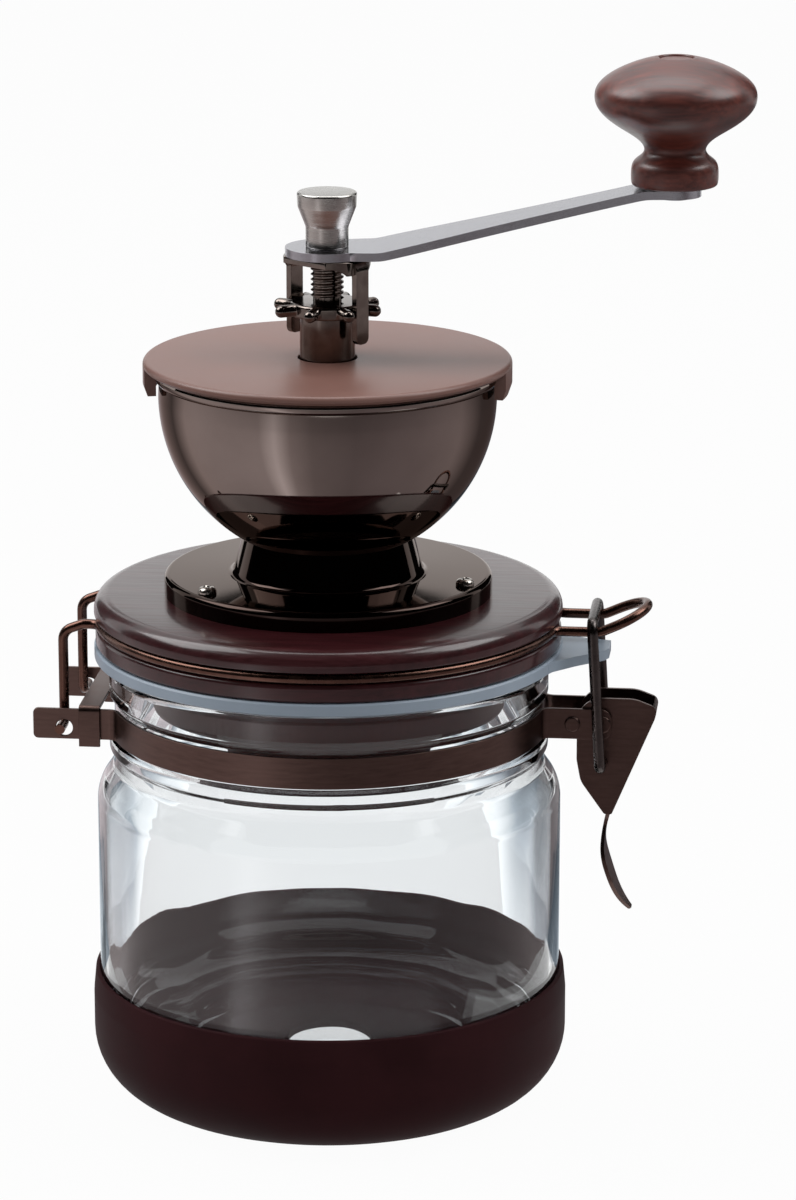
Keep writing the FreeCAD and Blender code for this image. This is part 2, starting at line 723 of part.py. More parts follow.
def burr_washer():
    """Washer between the spring and the inner burr."""
    return turned([(SHAFT_R + 0.15, 96.65), (7.6, 96.65, 0.25), (7.6, 97.45, 0.25), (SHAFT_R + 0.15, 97.45)])


def biarc(p0, t0, p1, t1):
    """Two tangent arcs from one point and heading to another."""
    chord = p1 - p0
    both = t0 + t1
    spread_out = 2 * (1 - t0.dot(t1))
    reach = (-chord.dot(both) + math.sqrt(chord.dot(both) ** 2 + spread_out * chord.dot(chord))) / spread_out
    joint = (p0 + p1 + (t0 - t1) * reach) * 0.5
    edges = []
    for start, corner, end in ((p0, p0 + t0 * reach, joint), (joint, p1 - t1 * reach, p1)):
        middle = (start + end) * 0.5
        half_chord = start.distanceToPoint(middle)
        rise = corner - middle
        half_turn = math.atan(rise.Length / half_chord)
        top = middle + rise.normalize() * (half_chord * math.tan(half_turn / 2))
        edges.append(Part.Arc(start, top, end).toShape())
    return edges


def burr_spring():
    """Compression spring that pushes the inner burr down from the lower bush."""
    mean = 5.9
    wire = 1.0
    pitch = 1.45
    turns = 4
    bottom = 98.1
    points = []
    headings = []
    for i in range(4 * turns + 1):
        angle = math.pi / 2 * i
        points.append(V(mean * math.cos(angle), mean * math.sin(angle), bottom + pitch * i / 4))
        headings.append(V(-mean * math.sin(angle), mean * math.cos(angle), pitch / (2 * math.pi)).normalize())
    edges = []
    for i in range(4 * turns):
        edges += biarc(points[i], headings[i], points[i + 1], headings[i + 1])
    gap = min(points[i].distanceToPoint(points[i + 4]) for i in range(4 * turns - 3)) - wire
    print("burr_spring least gap between turns", round(gap, 2))
    return rod_along(Part.Wire(edges), wire)


def double_d(radius, flat, z0, z1):
    """Shaft length with two driving flats."""
    bar = Part.makeBox(2 * radius + 2, 2 * flat, z1 - z0, V(-radius - 1, -flat, z0))
    return disc(radius, z0, z1).common(around(bar, STOPPER_AZIMUTH))


def shaft():
    """Plain lower shaft, threaded middle with a true helical thread, and two driving flats."""
    shoulder = NUT_BOTTOM - 0.6
    lower = turned([(0.0, 79.6), (SHAFT_R, 79.6, 0.8), (SHAFT_R, shoulder, 0.3), (0.0, shoulder)])
    core = disc(THREAD_ROOT_R, shoulder - 0.4, 205.8)
    drive = double_d(THREAD_ROOT_R, 2.7, 205.6, 209.8)
    top = turned([(0.0, 209.5), (THREAD_ROOT_R, 209.5), (THREAD_ROOT_R, 215.6, 0.6), (0.0, 215.6)])
    root = THREAD_ROOT_R - 0.15
    crest = SHAFT_R - 0.05
    corners = [in_xz(root, -0.56), in_xz(crest, -0.10), in_xz(crest, 0.10), in_xz(root, 0.56)]
    section = Part.makePolygon(corners + corners[:1])
    turns = 6
    thread = coil(THREAD_PITCH, THREAD_PITCH * turns, root, section)
    thread.translate(V(0, 0, 197.5))
    return joined([lower, core, drive, top, thread])


def adjusting_nut():
    """Round nut with a star of eight radial pins that the stopper locks into."""
    body = turned([
        (THREAD_ROOT_R + 0.05, NUT_BOTTOM),
        (6.6, NUT_BOTTOM, 0.9),
        (6.6, 193.2),
        (8.8, 193.2, 0.4),
        (8.8, 196.4, 0.7),
        (THREAD_ROOT_R + 0.05, 196.4),
    ])
    parts = [body]
    for i in range(8):
        pin = Part.makeCylinder(1.45, 5.0, V(7.0, 0, 194.8), V(1, 0, 0))
        ball = Part.makeSphere(1.45, V(12.0, 0, 194.8))
        parts.append(around(pin.fuse(ball), LOBE_AZIMUTH + 45.0 * i))
    return joined(parts)


def stopper():
    """Forked plate: a round top that the shaft drives, and two legs between the pins of the nut."""
    section = [
        (-11.4, 187.4, 0.0), (-11.4, 207.4, 2.4), (11.4, 207.4, 2.4), (11.4, 187.4, 0.0),
        (9.8, 187.4, 0.0), (9.8, 205.8, 2.6), (-9.8, 205.8, 2.6), (-9.8, 187.4, 0.0),
    ]
    fork = plate_xz(section, -8.0, 8.0)
    plan = joined([
        disc(10.4, 204.0, 208.0).common(Part.makeBox(30, 16, 4, V(-15, -8, 204))),
        Part.makeBox(24, 4.2, 30, V(-12, -2.1, 180)),
    ])
    fork = fork.common(plan)
    leg_outline = [(-2.1, 187.4, 1.6), (2.1, 187.4, 1.6), (2.1, 204.0), (-2.1, 204.0)]
    foot = rounded_wire(leg_outline, lambda a, b: V(-15, a, b))
    legs_room = Part.Face(foot).extrude(V(30, 0, 0))
    top_room = Part.makeBox(40, 40, 8, V(-20, -20, 203.0))
    fork = fork.common(joined([legs_room, top_room]))
    fork = around(fork, STOPPER_AZIMUTH)
    return fork.cut(double_d(THREAD_ROOT_R + 0.05, 2.75, 200.0, 209.0))


def crank_arm():
    """Flat bar: level hub, sloping tapered arm, level end under the knob."""
    low = ARM_Z - ARM_T
    high = ARM_Z + ARM_RISE
    side = plate_xz([
        (-12.0, ARM_Z), (12.0, ARM_Z, 12.0), (74.5, high, 14.0), (92.0, high),
        (92.0, high - ARM_T), (74.9, high - ARM_T, 16.0), (12.4, low, 14.0), (-12.0, low),
    ], -12.0, 12.0)
    end_r = 6.4
    upper = [(5.0, 8.7), (14.0, 9.4), (27.0, 8.4), (40.0, 7.1), (56.0, 6.1), (68.0, 5.7), (CRANK_R - 2.0, 6.05)]
    top_edge = Part.BSplineCurve()
    top_edge.interpolate([in_xy(a, b) for a, b in upper])
    low_edge = Part.BSplineCurve()
    low_edge.interpolate([in_xy(a, -b) for a, b in reversed(upper)])
    start = Part.makeLine(in_xy(5.0, -8.7), in_xy(5.0, 8.7))
    end = Part.makeLine(in_xy(CRANK_R - 2.0, 6.05), in_xy(CRANK_R - 2.0, -6.05))
    waist = Part.Face(Part.Wire([top_edge.toShape(), end, low_edge.toShape(), start]))
    waist.translate(V(0, 0, 200.0))
    waist = waist.extrude(V(0, 0, 30.0))
    plan = joined([disc(10.0, 200.0, 230.0), waist, disc(end_r, 200.0, 230.0, CRANK_R)])
    arm = side.common(plan).cut(disc(2.65, 200.0, 240.0, CRANK_R))
    arm = around(arm, ARM_AZIMUTH)
    return arm.cut(double_d(THREAD_ROOT_R + 0.05, 2.75, 200.0, 215.0))


def cap_nut():
    """Waisted nut that clamps the arm."""
    return turned([
        (THREAD_ROOT_R + 0.05, ARM_Z, 0.3),
        (5.1, ARM_Z, 0.3),
        (5.1, 214.4, 1.5),
        (7.0, 219.3, 1.2),
        (7.15, 222.7, 0.6),
        (0.0, 222.7),
        (0.0, 216.2),
        (THREAD_ROOT_R + 0.05, 216.2),
    ])


def knob_post():
    """Riveted post under and through the arm that the knob turns on."""
    under = ARM_Z + ARM_RISE - ARM_T
    post = turned([
        (0.0, under - 0.6), (4.2, under - 0.6, 0.4), (4.2, under), (2.6, under),
        (2.6, 248.8), (2.95, 248.8), (2.95, 249.8, 0.6), (0.0, 249.8),
    ])
    post.translate(V(CRANK_R, 0, 0))
    return around(post, ARM_AZIMUTH)


def knob():
    """Turned wooden knob: flattened head, waist and collar, bored for the post."""
    head = [(4.0, 254.0), (8.2, 253.1), (13.1, 251.2), (16.8, 249.0), (18.8, 246.8), (19.4, 244.6),
            (18.8, 242.3), (16.9, 239.9), (13.4, 237.4), (9.4, 235.0), (7.2, 232.8)]
    curve = Part.BSplineCurve()
    curve.interpolate([in_xz(a, b) for a, b in head])
    edges = [
        curve.toShape(),
        Part.Arc(in_xz(7.2, 232.8), in_xz(7.3, 231.2), in_xz(8.6, 230.1)).toShape(),
        Part.Arc(in_xz(8.6, 230.1), in_xz(9.9, 229.2), in_xz(10.35, 227.8)).toShape(),
        Part.makeLine(in_xz(10.35, 227.8), in_xz(10.35, 223.9)),
        Part.Arc(in_xz(10.35, 223.9), in_xz(10.15, 223.4), in_xz(9.65, KNOB_BOTTOM)).toShape(),
        Part.makeLine(in_xz(9.65, KNOB_BOTTOM), in_xz(2.68, KNOB_BOTTOM)),
        Part.makeLine(in_xz(2.68, KNOB_BOTTOM), in_xz(2.68, 248.6)),
        Part.makeLine(in_xz(2.68, 248.6), in_xz(4.0, 248.6)),
        Part.makeLine(in_xz(4.0, 248.6), in_xz(4.0, 254.0)),
    ]
    body = Part.Face(Part.Wire(edges)).revolve(ORIGIN, UP, 360)
    body.translate(V(CRANK_R, 0, 0))
    return around(body, ARM_AZIMUTH)


def knob_plug():
    """Plug that closes the bore, slightly below the top of the knob."""
    plug = disc(3.97, 250.2, 253.5, CRANK_R)
    return around(plug, ARM_AZIMUTH)


NODES = {
    "base_sleeve": base_sleeve(),
    "glass_jar": glass_jar(),
    "front_strap": strap(-1),
    "rear_strap": strap(1),
    "hinge_clip": hinge_clip(),
    "ear_rivet": ear_rivet(),
    "lever_pivot": lever_pivot(),
    "latch_lever": latch_lever(),
    "latch_bail": latch_bail(),
    "lid_wire": lid_wire(),
    "wood_lid": wood_lid(),
    "gasket": gasket(),
    "hopper_bowl": hopper_bowl(),
    "hopper_base": hopper_base(),
    "flange_screw": flange_screw(),
    "bearing_bridge": bearing_bridge(),
    "upper_bush": upper_bush(),
    "hopper_cover": hopper_cover(),
    "burr_holder": burr_holder(),
    "holder_screw": holder_screw(),
    "lower_bush": lower_bush(),
    "outer_burr": outer_burr(),
    "burr_ring": burr_ring(),
    "ring_screw": ring_screw(),
    "inner_burr": inner_burr(),
    "burr_nut": burr_nut(),
    "burr_washer": burr_washer(),
    "burr_spring": burr_spring(),
    "shaft": shaft(),
    "adjusting_nut": adjusting_nut(),
    "stopper": stopper(),
    "crank_arm": crank_arm(),
    "cap_nut": cap_nut(),
    "knob_post": knob_post(),
    "knob": knob(),
    "knob_plug": knob_plug(),
}

for name, shape in NODES.items():
    shape.exportStep("parts/" + name + ".step")
    box = shape.BoundBox
    print(name, shape.isValid(), len(shape.Solids), round(shape.Volume, 1),
          [round(v, 1) for v in (box.XMin, box.XMax, box.YMin, box.YMax, box.ZMin, box.ZMax)])
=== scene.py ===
# %% [markdown]
# # A hand crank coffee grinder on a clip-top jar
# The CAD model gives every piece its place and its size. This lesson dresses it: each shown piece is
# modelled again with enough sides to look smooth, and gets a finish made from nodes. The frame is loaded
# first, because every new piece rides on one of its bodies.

import math

import bmesh
import bpy
from mathutils import Matrix, Vector, geometry, noise


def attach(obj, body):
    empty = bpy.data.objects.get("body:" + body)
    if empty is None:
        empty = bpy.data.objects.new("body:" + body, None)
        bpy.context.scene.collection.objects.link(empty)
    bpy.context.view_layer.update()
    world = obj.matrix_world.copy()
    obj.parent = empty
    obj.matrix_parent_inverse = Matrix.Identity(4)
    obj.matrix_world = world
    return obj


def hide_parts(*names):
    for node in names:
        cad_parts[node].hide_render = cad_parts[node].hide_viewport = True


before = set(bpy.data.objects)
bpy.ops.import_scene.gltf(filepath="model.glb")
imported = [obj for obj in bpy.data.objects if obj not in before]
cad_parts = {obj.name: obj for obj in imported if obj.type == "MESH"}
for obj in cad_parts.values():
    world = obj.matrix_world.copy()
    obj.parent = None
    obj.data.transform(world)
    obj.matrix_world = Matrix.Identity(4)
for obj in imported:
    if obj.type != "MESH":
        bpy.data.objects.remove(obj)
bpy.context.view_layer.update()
MM = 0.001

# %% [markdown]
# ## Camera
# The photograph looks down on the grinder by about fifteen degrees, from slightly to the latch's side. A
# short lens close by would fill the picture too, but the jar would taper. A long lens far away keeps
# upright lines nearly parallel, as in a shop picture.

# %% camera
LENS_MM = 144.65
SENSOR_MM = 36.0
FARTHEST = 20.0
CAMERA_PLACE = (0.13393, -1.11393, 0.42911)
CAMERA_TILT = 74.728
CAMERA_TURN = 6.0
camera_data = bpy.data.cameras.new("photo_camera")
camera_data.lens = LENS_MM
camera_data.sensor_width = SENSOR_MM
camera_data.clip_end = FARTHEST
camera = bpy.data.objects.new("photo_camera", camera_data)
camera.location = CAMERA_PLACE
camera.rotation_euler = (math.radians(CAMERA_TILT), 0.0, math.radians(CAMERA_TURN))
bpy.context.scene.collection.objects.link(camera)
bpy.context.scene.camera = camera
bpy.context.scene.view_settings.view_transform = "Standard"
print("camera", tuple(round(v, 3) for v in camera.location))

# %% [markdown]
# ## Colours and sizes
# A colour picker shows sRGB hex values, and the shader needs linear ones. Linear numbers could be typed in,
# but hex values are easy to hold against a photograph, so one function turns them into linear values.
# Patterns are given in millimetres: a noise whose scale is 1000 divided by a size repeats about once in
# that size, because the model is in metres.

# %% colours and sizes
def colour(hexcode):
    """Linear RGBA of an sRGB hex colour."""
    channels = [int(hexcode[i:i + 2], 16) / 255 for i in (1, 3, 5)]
    linear = [c / 12.92 if c <= 0.04045 else ((c + 0.055) / 1.055) ** 2.4 for c in channels]
    return (*linear, 1.0)


def every(size_mm):
    """Texture scale that repeats once in a size given in millimetres."""
    return 1000.0 / size_mm


print("mid grey is", round(colour("#808080")[0], 3), "and a 2 mm pattern has the scale", every(2.0))

# %% [markdown]
# ## Nodes
# A finish could be put together by hand in the shader editor. In a script, one small function adds a node
# with its settings, its plain values and its links, so that each finish below reads as a short recipe.
# Every finish starts from a Principled shader and reads Object coordinates, so its pattern stays on the
# piece as it moves.

# %% nodes
def add(tree, kind, settings=None, sockets=None, links=None):
    """One node with its settings, its socket values and the outputs that feed it."""
    node = tree.nodes.new(kind)
    for name, value in (settings or {}).items():
        setattr(node, name, value)
    for name, value in (sockets or {}).items():
        node.inputs[name].default_value = value
    for name, source in (links or {}).items():
        tree.links.new(source, node.inputs[name])
    return node


def start_finish(name, sockets):
    """New material with a Principled shader whose plain values are set; gives back what nodes need."""
    finish = bpy.data.materials.new(name)
    finish.use_nodes = True
    tree = finish.node_tree
    shader = tree.nodes["Principled BSDF"]
    for socket, value in sockets.items():
        shader.inputs[socket].default_value = value
    where = add(tree, "ShaderNodeTexCoord").outputs["Object"]
    return finish, tree, shader, where


print("node helpers ready")

# %% [markdown]
# ## Patterns
# Grain, brush marks and clouding can all be noise: drawn out along one direction it looks like fibres or
# brush marks, and left even it looks like clouding. One noise drives colour, roughness and relief together,
# because on a real surface they change together. Most of a noise lies between 0.3 and 0.7, so that span is
# spread out.

# %% patterns
NOISE_LOW = 0.3
NOISE_HIGH = 0.7


def stretched_noise(tree, where, turn, stretch, size_mm, detail=6.0, roughness=0.55, distortion=0.0):
    """Noise drawn out along an axis, as grain and brush marks are."""
    mapped = add(tree, "ShaderNodeMapping", None, {"Rotation": turn, "Scale": stretch}, {"Vector": where})
    return add(tree, "ShaderNodeTexNoise", None,
               {"Scale": every(size_mm), "Detail": detail, "Roughness": roughness, "Distortion": distortion},
               {"Vector": mapped.outputs["Vector"]})


def shade_between(tree, factor, stops):
    """Colour ramp from (position, hex) stops."""
    ramp = add(tree, "ShaderNodeValToRGB", None, None, {"Fac": factor})
    elements = ramp.color_ramp.elements
    while len(elements) < len(stops):
        elements.new(0.5)
    for element, (position, hexcode) in zip(elements, stops):
        element.position = position
        element.color = colour(hexcode)
    return ramp.outputs["Color"]


def spread_value(tree, factor, low, high):
    """Number that runs from low to high over the span that a noise has."""
    return add(tree, "ShaderNodeMapRange", None,
               {"From Min": NOISE_LOW, "From Max": NOISE_HIGH, "To Min": low, "To Max": high},
               {"Value": factor}).outputs["Result"]


def bump(tree, shader, height, depth_mm, strength):
    """Surface relief of a depth in millimetres."""
    node = add(tree, "ShaderNodeBump", None, {"Strength": strength, "Distance": depth_mm * MM},
               {"Height": height})
    tree.links.new(node.outputs["Normal"], shader.inputs["Normal"])


print("noise is read from", NOISE_LOW, "to", NOISE_HIGH)

# %% [markdown]
# ## Metals
# The hopper is polished steel with a black nickel plating: its bowl is a smoky mirror with a warm cast, its
# base a darker one. The latch is sheet steel with a satin bronze plating, the wires carry a smoother
# plating, and the crank is ground and turned stainless steel. Reflections could be painted on, but they
# would stay put as the view turns, so a metallic shader mirrors the studio, and its edge tint sets how pale
# it gets at a low angle. Real brush marks are a few hundredths of a millimetre wide. That is too fine to
# show, so they are drawn about one millimetre wide.

# %% metals
EVEN = (1, 1, 1)
UNTURNED = (0, 0, 0)
MARK_STRENGTH = 0.4
MIRROR_CLOUD_MM = 14.0
PLATE_GRAIN_MM = 2.5
WIRE_GRAIN_MM = 1.5
ROLLING_MM = 0.9
GRINDING_MM = 0.8
ALONG_ARM = (0, 0, math.radians(-12))


def brushed(name, shades, rough, marks_mm, depth_mm, stretch=EVEN, turn=UNTURNED, edge="#ffffff"):
    """Metal with fine marks, drawn out along one direction or even all round."""
    finish, tree, shader, where = start_finish(name, {"Metallic": 1.0, "Specular Tint": colour(edge)})
    marks = stretched_noise(tree, where, turn, stretch, marks_mm).outputs["Fac"]
    stops = list(zip((NOISE_LOW, NOISE_HIGH), shades))
    tree.links.new(shade_between(tree, marks, stops), shader.inputs["Base Color"])
    tree.links.new(spread_value(tree, marks, *rough), shader.inputs["Roughness"])
    bump(tree, shader, marks, depth_mm, MARK_STRENGTH)
    return finish


# Black nickel on polished steel: a smoky mirror that shows the studio at about a quarter of its brightness.
black_nickel = brushed("black_nickel_mirror", ("#877d78", "#8f8580"), (0.03, 0.05), MIRROR_CLOUD_MM,
                       depth_mm=0.002, edge="#c6bcb7")
# Darker nickel on the base: black where it is faced, and pale where it is seen at a low angle.
base_nickel = brushed("dark_nickel_mirror", ("#332a27", "#392f2c"), (0.04, 0.07), MIRROR_CLOUD_MM,
                      depth_mm=0.002, edge="#f3ece8")
# Dark chrome plate on nut, stopper and shaft: small sharp glints on a dark ground.
dark_chrome = brushed("dark_chrome_plate", ("#6b625d", "#7d746e"), (0.10, 0.20), PLATE_GRAIN_MM,
                      depth_mm=0.004)
# Bronze-plated rolled sheet: a satin brown with faint lines that run round the jar.
bronze_sheet = brushed("bronze_plated_sheet", ("#5b4a45", "#6c5852"), (0.30, 0.42), ROLLING_MM,
                       depth_mm=0.01, stretch=(0.15, 0.15, 1))
# Dark plated wire of the bail: nearly black, with one soft light line along it.
dark_wire = brushed("dark_plated_wire", ("#4c4746", "#5a5553"), (0.22, 0.34), WIRE_GRAIN_MM,
                    depth_mm=0.004, stretch=(0.6, 0.6, 0.6))
# Bronze-plated drawn wire of the lid: smoother than the sheet, with a narrow coppery light line.
bronze_wire = brushed("bronze_plated_wire", ("#5c443c", "#6d5147"), (0.20, 0.32), WIRE_GRAIN_MM,
                      depth_mm=0.006, stretch=(0.6, 0.6, 0.6))
# Turned stainless steel of the cap nut: rings from the lathe tool spread its highlight up and down.
turned_steel = brushed("turned_stainless", ("#b0aeaa", "#bebcb8"), (0.20, 0.30), GRINDING_MM,
                       depth_mm=0.002, stretch=(0.1, 0.1, 2.0))
# Ground stainless steel of the arm: a pale satin bar with marks along its length.
ground_steel = brushed("ground_stainless", ("#a2a2a9", "#b2b2b8"), (0.18, 0.26), GRINDING_MM,
                       depth_mm=0.002, stretch=(0.03, 1.0, 1.0), turn=ALONG_ARM)
# Bright zinc plate on screws and hidden fittings: small white points of light.
bright_zinc = brushed("bright_zinc_steel", ("#a39c95", "#c4bdb6"), (0.18, 0.30), GRINDING_MM,
                      depth_mm=0.006)
print("metals of the hopper, the latch and the arm:", black_nickel.name, bronze_sheet.name, ground_steel.name)

# %% [markdown]
# ## Wood
# Lid and knob are turned from a close-grained hardwood with a dark stain. A wave texture would give the
# wide bands of softwood, but this wood shows long fine fibres. So the fibres are noise drawn out along one
# direction, the pores are a finer noise in the same direction, and a clear lacquer lies over both, smoother
# on the lid than on the knob. Real pores are about a tenth of a millimetre wide, and are drawn wider so
# that they show.

# %% wood
FIBRE_STRETCH = (0.07, 1.0, 1.0)
PORE_STRETCH = (0.05, 1.0, 1.0)
PORE_MM = 0.7
PORE_SHARE = 0.35
GRAIN_DEPTH_MM = 0.05
GRAIN_STRENGTH = 0.5
SMOOTHER = 0.05
ROUGHER = 0.08
STAIN_STOPS = (0.34, 0.5, 0.66)


def stained_wood(name, shades, turn, fibre_mm, sockets):
    """Dark stained hardwood, grain along the first axis after the turn."""
    finish, tree, shader, where = start_finish(name, sockets)
    fibres = stretched_noise(tree, where, turn, FIBRE_STRETCH, fibre_mm, detail=8.0, roughness=0.62,
                             distortion=0.6).outputs["Fac"]
    pores = stretched_noise(tree, where, turn, PORE_STRETCH, PORE_MM, detail=3.0,
                            roughness=0.5).outputs["Fac"]
    both = add(tree, "ShaderNodeMix", {"data_type": "FLOAT"}, {0: PORE_SHARE},
               {2: fibres, 3: pores}).outputs[0]
    tree.links.new(shade_between(tree, both, list(zip(STAIN_STOPS, shades))), shader.inputs["Base Color"])
    smooth, rough = sockets["Roughness"] - SMOOTHER, sockets["Roughness"] + ROUGHER
    tree.links.new(spread_value(tree, pores, smooth, rough), shader.inputs["Roughness"])
    bump(tree, shader, both, GRAIN_DEPTH_MM, GRAIN_STRENGTH)
    return finish


# Stained lid under a smooth lacquer: a deep red-brown, with a pale sheen where the top mirrors the backdrop.
lid_wood = stained_wood("satin_stained_lid_wood", ("#260c0f", "#321215", "#3e181c"),
                        turn=(0, 0, math.radians(9)), fibre_mm=3.2, sockets={
                            "Roughness": 0.34, "Specular IOR Level": 0.22, "Coat Weight": 0.75,
                            "Coat Roughness": 0.14})
# Stained knob under a thinner lacquer: redder, with clearer grain and a broad soft highlight.
knob_wood = stained_wood("lacquered_stained_knob_wood", ("#32110d", "#512017", "#6c2e21"),
                         turn=(0, math.radians(12), math.radians(20)), fibre_mm=4.0, sockets={
                             "Roughness": 0.40, "Coat Weight": 0.45, "Coat Roughness": 0.30})
print("woods", lid_wood.name, knob_wood.name)

# %% [markdown]
# ## Rubber, plastic and ceramic
# The sleeve is matte moulded silicone, the gasket a paler one that light enters, and the cover a moulded
# plastic with a fine satin grain. A flat colour would do from afar, but a mould leaves faint clouds and a
# fine grain, which keep a large plain surface from looking drawn. A real mould's grain is near a tenth of a
# millimetre, and is drawn at half a millimetre or more so that it shows.

# %% moulded finishes
CLOUD_MM = 22.0
CLOUD_STOPS = (0.35, 0.65)
MOULD_STRENGTH = 0.35


def moulded(name, shades, rough, grain_mm, depth_mm, sockets):
    """Moulded plastic, rubber or ceramic: faint clouding, and a fine grain from the mould."""
    finish, tree, shader, where = start_finish(name, sockets)
    cloud = add(tree, "ShaderNodeTexNoise", None, {"Scale": every(CLOUD_MM), "Detail": 4.0},
                {"Vector": where})
    grain = add(tree, "ShaderNodeTexNoise", None, {"Scale": every(grain_mm), "Detail": 2.0},
                {"Vector": where})
    clouding = cloud.outputs["Fac"]
    tree.links.new(shade_between(tree, clouding, list(zip(CLOUD_STOPS, shades))), shader.inputs["Base Color"])
    tree.links.new(spread_value(tree, clouding, *rough), shader.inputs["Roughness"])
    bump(tree, shader, grain.outputs["Fac"], depth_mm, MOULD_STRENGTH)
    return finish


# Matte silicone: a very dark brown that hardly shines, so the sleeve looks soft.
sleeve_silicone = moulded("matte_silicone_sleeve", ("#280f12", "#301518"), (0.62, 0.72), grain_mm=0.7,
                          depth_mm=0.03, sockets={"Specular IOR Level": 0.08})
# Translucent silicone: a milky blue-grey ring that lights up a little from within.
gasket_silicone = moulded("translucent_silicone_gasket", ("#98a5b3", "#a2afbd"), (0.30, 0.40), grain_mm=0.8,
                          depth_mm=0.02, sockets={"Transmission Weight": 0.15, "IOR": 1.41})
# Moulded plastic of the cover, likely polypropylene: a satin brown that pales softly towards its sides.
cover_plastic = moulded("satin_brown_cover_plastic", ("#6c4d45", "#74544c"), (0.34, 0.40), grain_mm=0.5,
                        depth_mm=0.02, sockets={"Specular IOR Level": 0.5})
# Moulded plastic of the burr holder: a dark red-brown plug behind the glass of the neck.
holder_plastic = moulded("brown_moulded_holder_plastic", ("#350f0c", "#3f1511"), (0.42, 0.50), grain_mm=0.8,
                         depth_mm=0.02, sockets={"Specular IOR Level": 0.25})
# Black nylon of the bushes: dull, nearly black.
bush_nylon = moulded("black_nylon", ("#272120", "#2f2826"), (0.42, 0.5), grain_mm=0.8,
                     depth_mm=0.02, sockets={})
# Unglazed ceramic of the burrs: an off-white like chalk, without a highlight.
burr_ceramic = moulded("unglazed_burr_ceramic", ("#e2ded5", "#ece9e2"), (0.5, 0.62), grain_mm=0.5,
                       depth_mm=0.03, sockets={})
print("moulded", sleeve_silicone.name, gasket_silicone.name, cover_plastic.name, holder_plastic.name)

# %% [markdown]
# ## Glass
# The jar is clear pressed soda glass, faintly grey-blue. A see-through shader with a shiny rim would be
# quicker, but it would not bend what lies behind the jar, and it is the bent grey edges that make it look
# like glass. So the shader transmits and refracts, with a slow ripple. Only shadow rays go straight
# through, so that the lamps light what stands behind the glass.

# %% glass
RIPPLE_MM = 26.0
RIPPLE_DEPTH_MM = 0.3
RIPPLE_STRENGTH = 0.15
# Pressed soda glass: bright and without colour where it is faced, and grey along its edges.
jar_glass, tree, shader, where = start_finish("clear_soda_glass", {
    "Base Color": colour("#fafcfd"), "Roughness": 0.0, "IOR": 1.5, "Transmission Weight": 1.0})
ripple = add(tree, "ShaderNodeTexNoise", None, {"Scale": every(RIPPLE_MM), "Detail": 1.0}, {"Vector": where})
bump(tree, shader, ripple.outputs["Fac"], RIPPLE_DEPTH_MM, RIPPLE_STRENGTH)
path = add(tree, "ShaderNodeLightPath")
clear = add(tree, "ShaderNodeBsdfTransparent", None, {"Color": colour("#eef3f5")})
lit_through = add(tree, "ShaderNodeMixShader", None, None,
                  {0: path.outputs["Is Shadow Ray"], 1: shader.outputs["BSDF"], 2: clear.outputs["BSDF"]})
tree.links.new(lit_through.outputs["Shader"], tree.nodes["Material Output"].inputs["Surface"])
print("glass", jar_glass.name)

# %% [markdown]
# ## Lathe
# Most of the grinder is round. A cylinder could be scaled ring by ring, but a profile says the shape more
# plainly: a few points are spun once round the upright axis, and each ring of edges that should be round is
# bevelled.

# %% lathe
STEPS = 144
SAME_PLACE = 1e-7
NO_LENGTH = 1e-8
RING_SLACK = 2e-6
LEAST_SEGMENTS = 3
MOST_SEGMENTS = 14
DEGREES_PER_SEGMENT = 9
WIDE_ROUNDING = 8


def on_ring(vert, radius, height):
    """True if a vertex lies on the ring of a profile point."""
    off_radius = abs(math.hypot(vert.co.x, vert.co.y) - radius * MM)
    return off_radius < RING_SLACK and abs(vert.co.z - height * MM) < RING_SLACK


def round_ring(bm, before, point, after):
    """Bevel of one ring so that its corner gets the profile point's radius."""
    radius, height, rounding = point
    ring = [e for e in bm.edges if all(on_ring(v, radius, height) for v in e.verts)]
    back = Vector((before[0] - radius, before[1] - height)).normalized()
    ahead = Vector((after[0] - radius, after[1] - height)).normalized()
    half = back.angle(ahead) / 2
    wanted = math.degrees(math.pi - 2 * half) / DEGREES_PER_SEGMENT * (1 + rounding / WIDE_ROUNDING)
    segments = max(LEAST_SEGMENTS, min(MOST_SEGMENTS, int(wanted)))
    bmesh.ops.bevel(bm, geom=ring, offset=rounding * MM / math.tan(half), offset_type="OFFSET",
                    segments=segments, profile=0.5, affect="EDGES", clamp_overlap=False, material=-1)


def lathe(profile, steps=STEPS, closed=True):
    """Spin of (radius, height) points in millimetres; a third number rounds that corner."""
    bm = bmesh.new()
    verts = [bm.verts.new((p[0] * MM, 0.0, p[1] * MM)) for p in profile]
    pairs = list(zip(verts, verts[1:])) + ([(verts[-1], verts[0])] if closed else [])
    edges = [bm.edges.new(pair) for pair in pairs]
    bmesh.ops.spin(bm, geom=verts + edges, cent=(0, 0, 0), axis=(0, 0, 1), angle=math.tau, steps=steps,
                   use_merge=True)
    bmesh.ops.remove_doubles(bm, verts=bm.verts, dist=SAME_PLACE)
    bmesh.ops.dissolve_degenerate(bm, edges=bm.edges, dist=NO_LENGTH)
    bmesh.ops.recalc_face_normals(bm, faces=bm.faces)
    for i, point in enumerate(profile):
        if len(point) > 2:
            round_ring(bm, profile[i - 1], point, profile[(i + 1) % len(profile)])
    return bm


print("lathe with", STEPS, "steps")

# %% [markdown]
# ## Finishing a piece
# A bmesh becomes a piece in the same way each time: smooth sides, sharp corners, a finish, and a ride on
# the body that carries it. The shape is moved in its mesh and not as an object, so that every object stays
# at the origin.

# %% finishing a piece
CORNER = 38.0


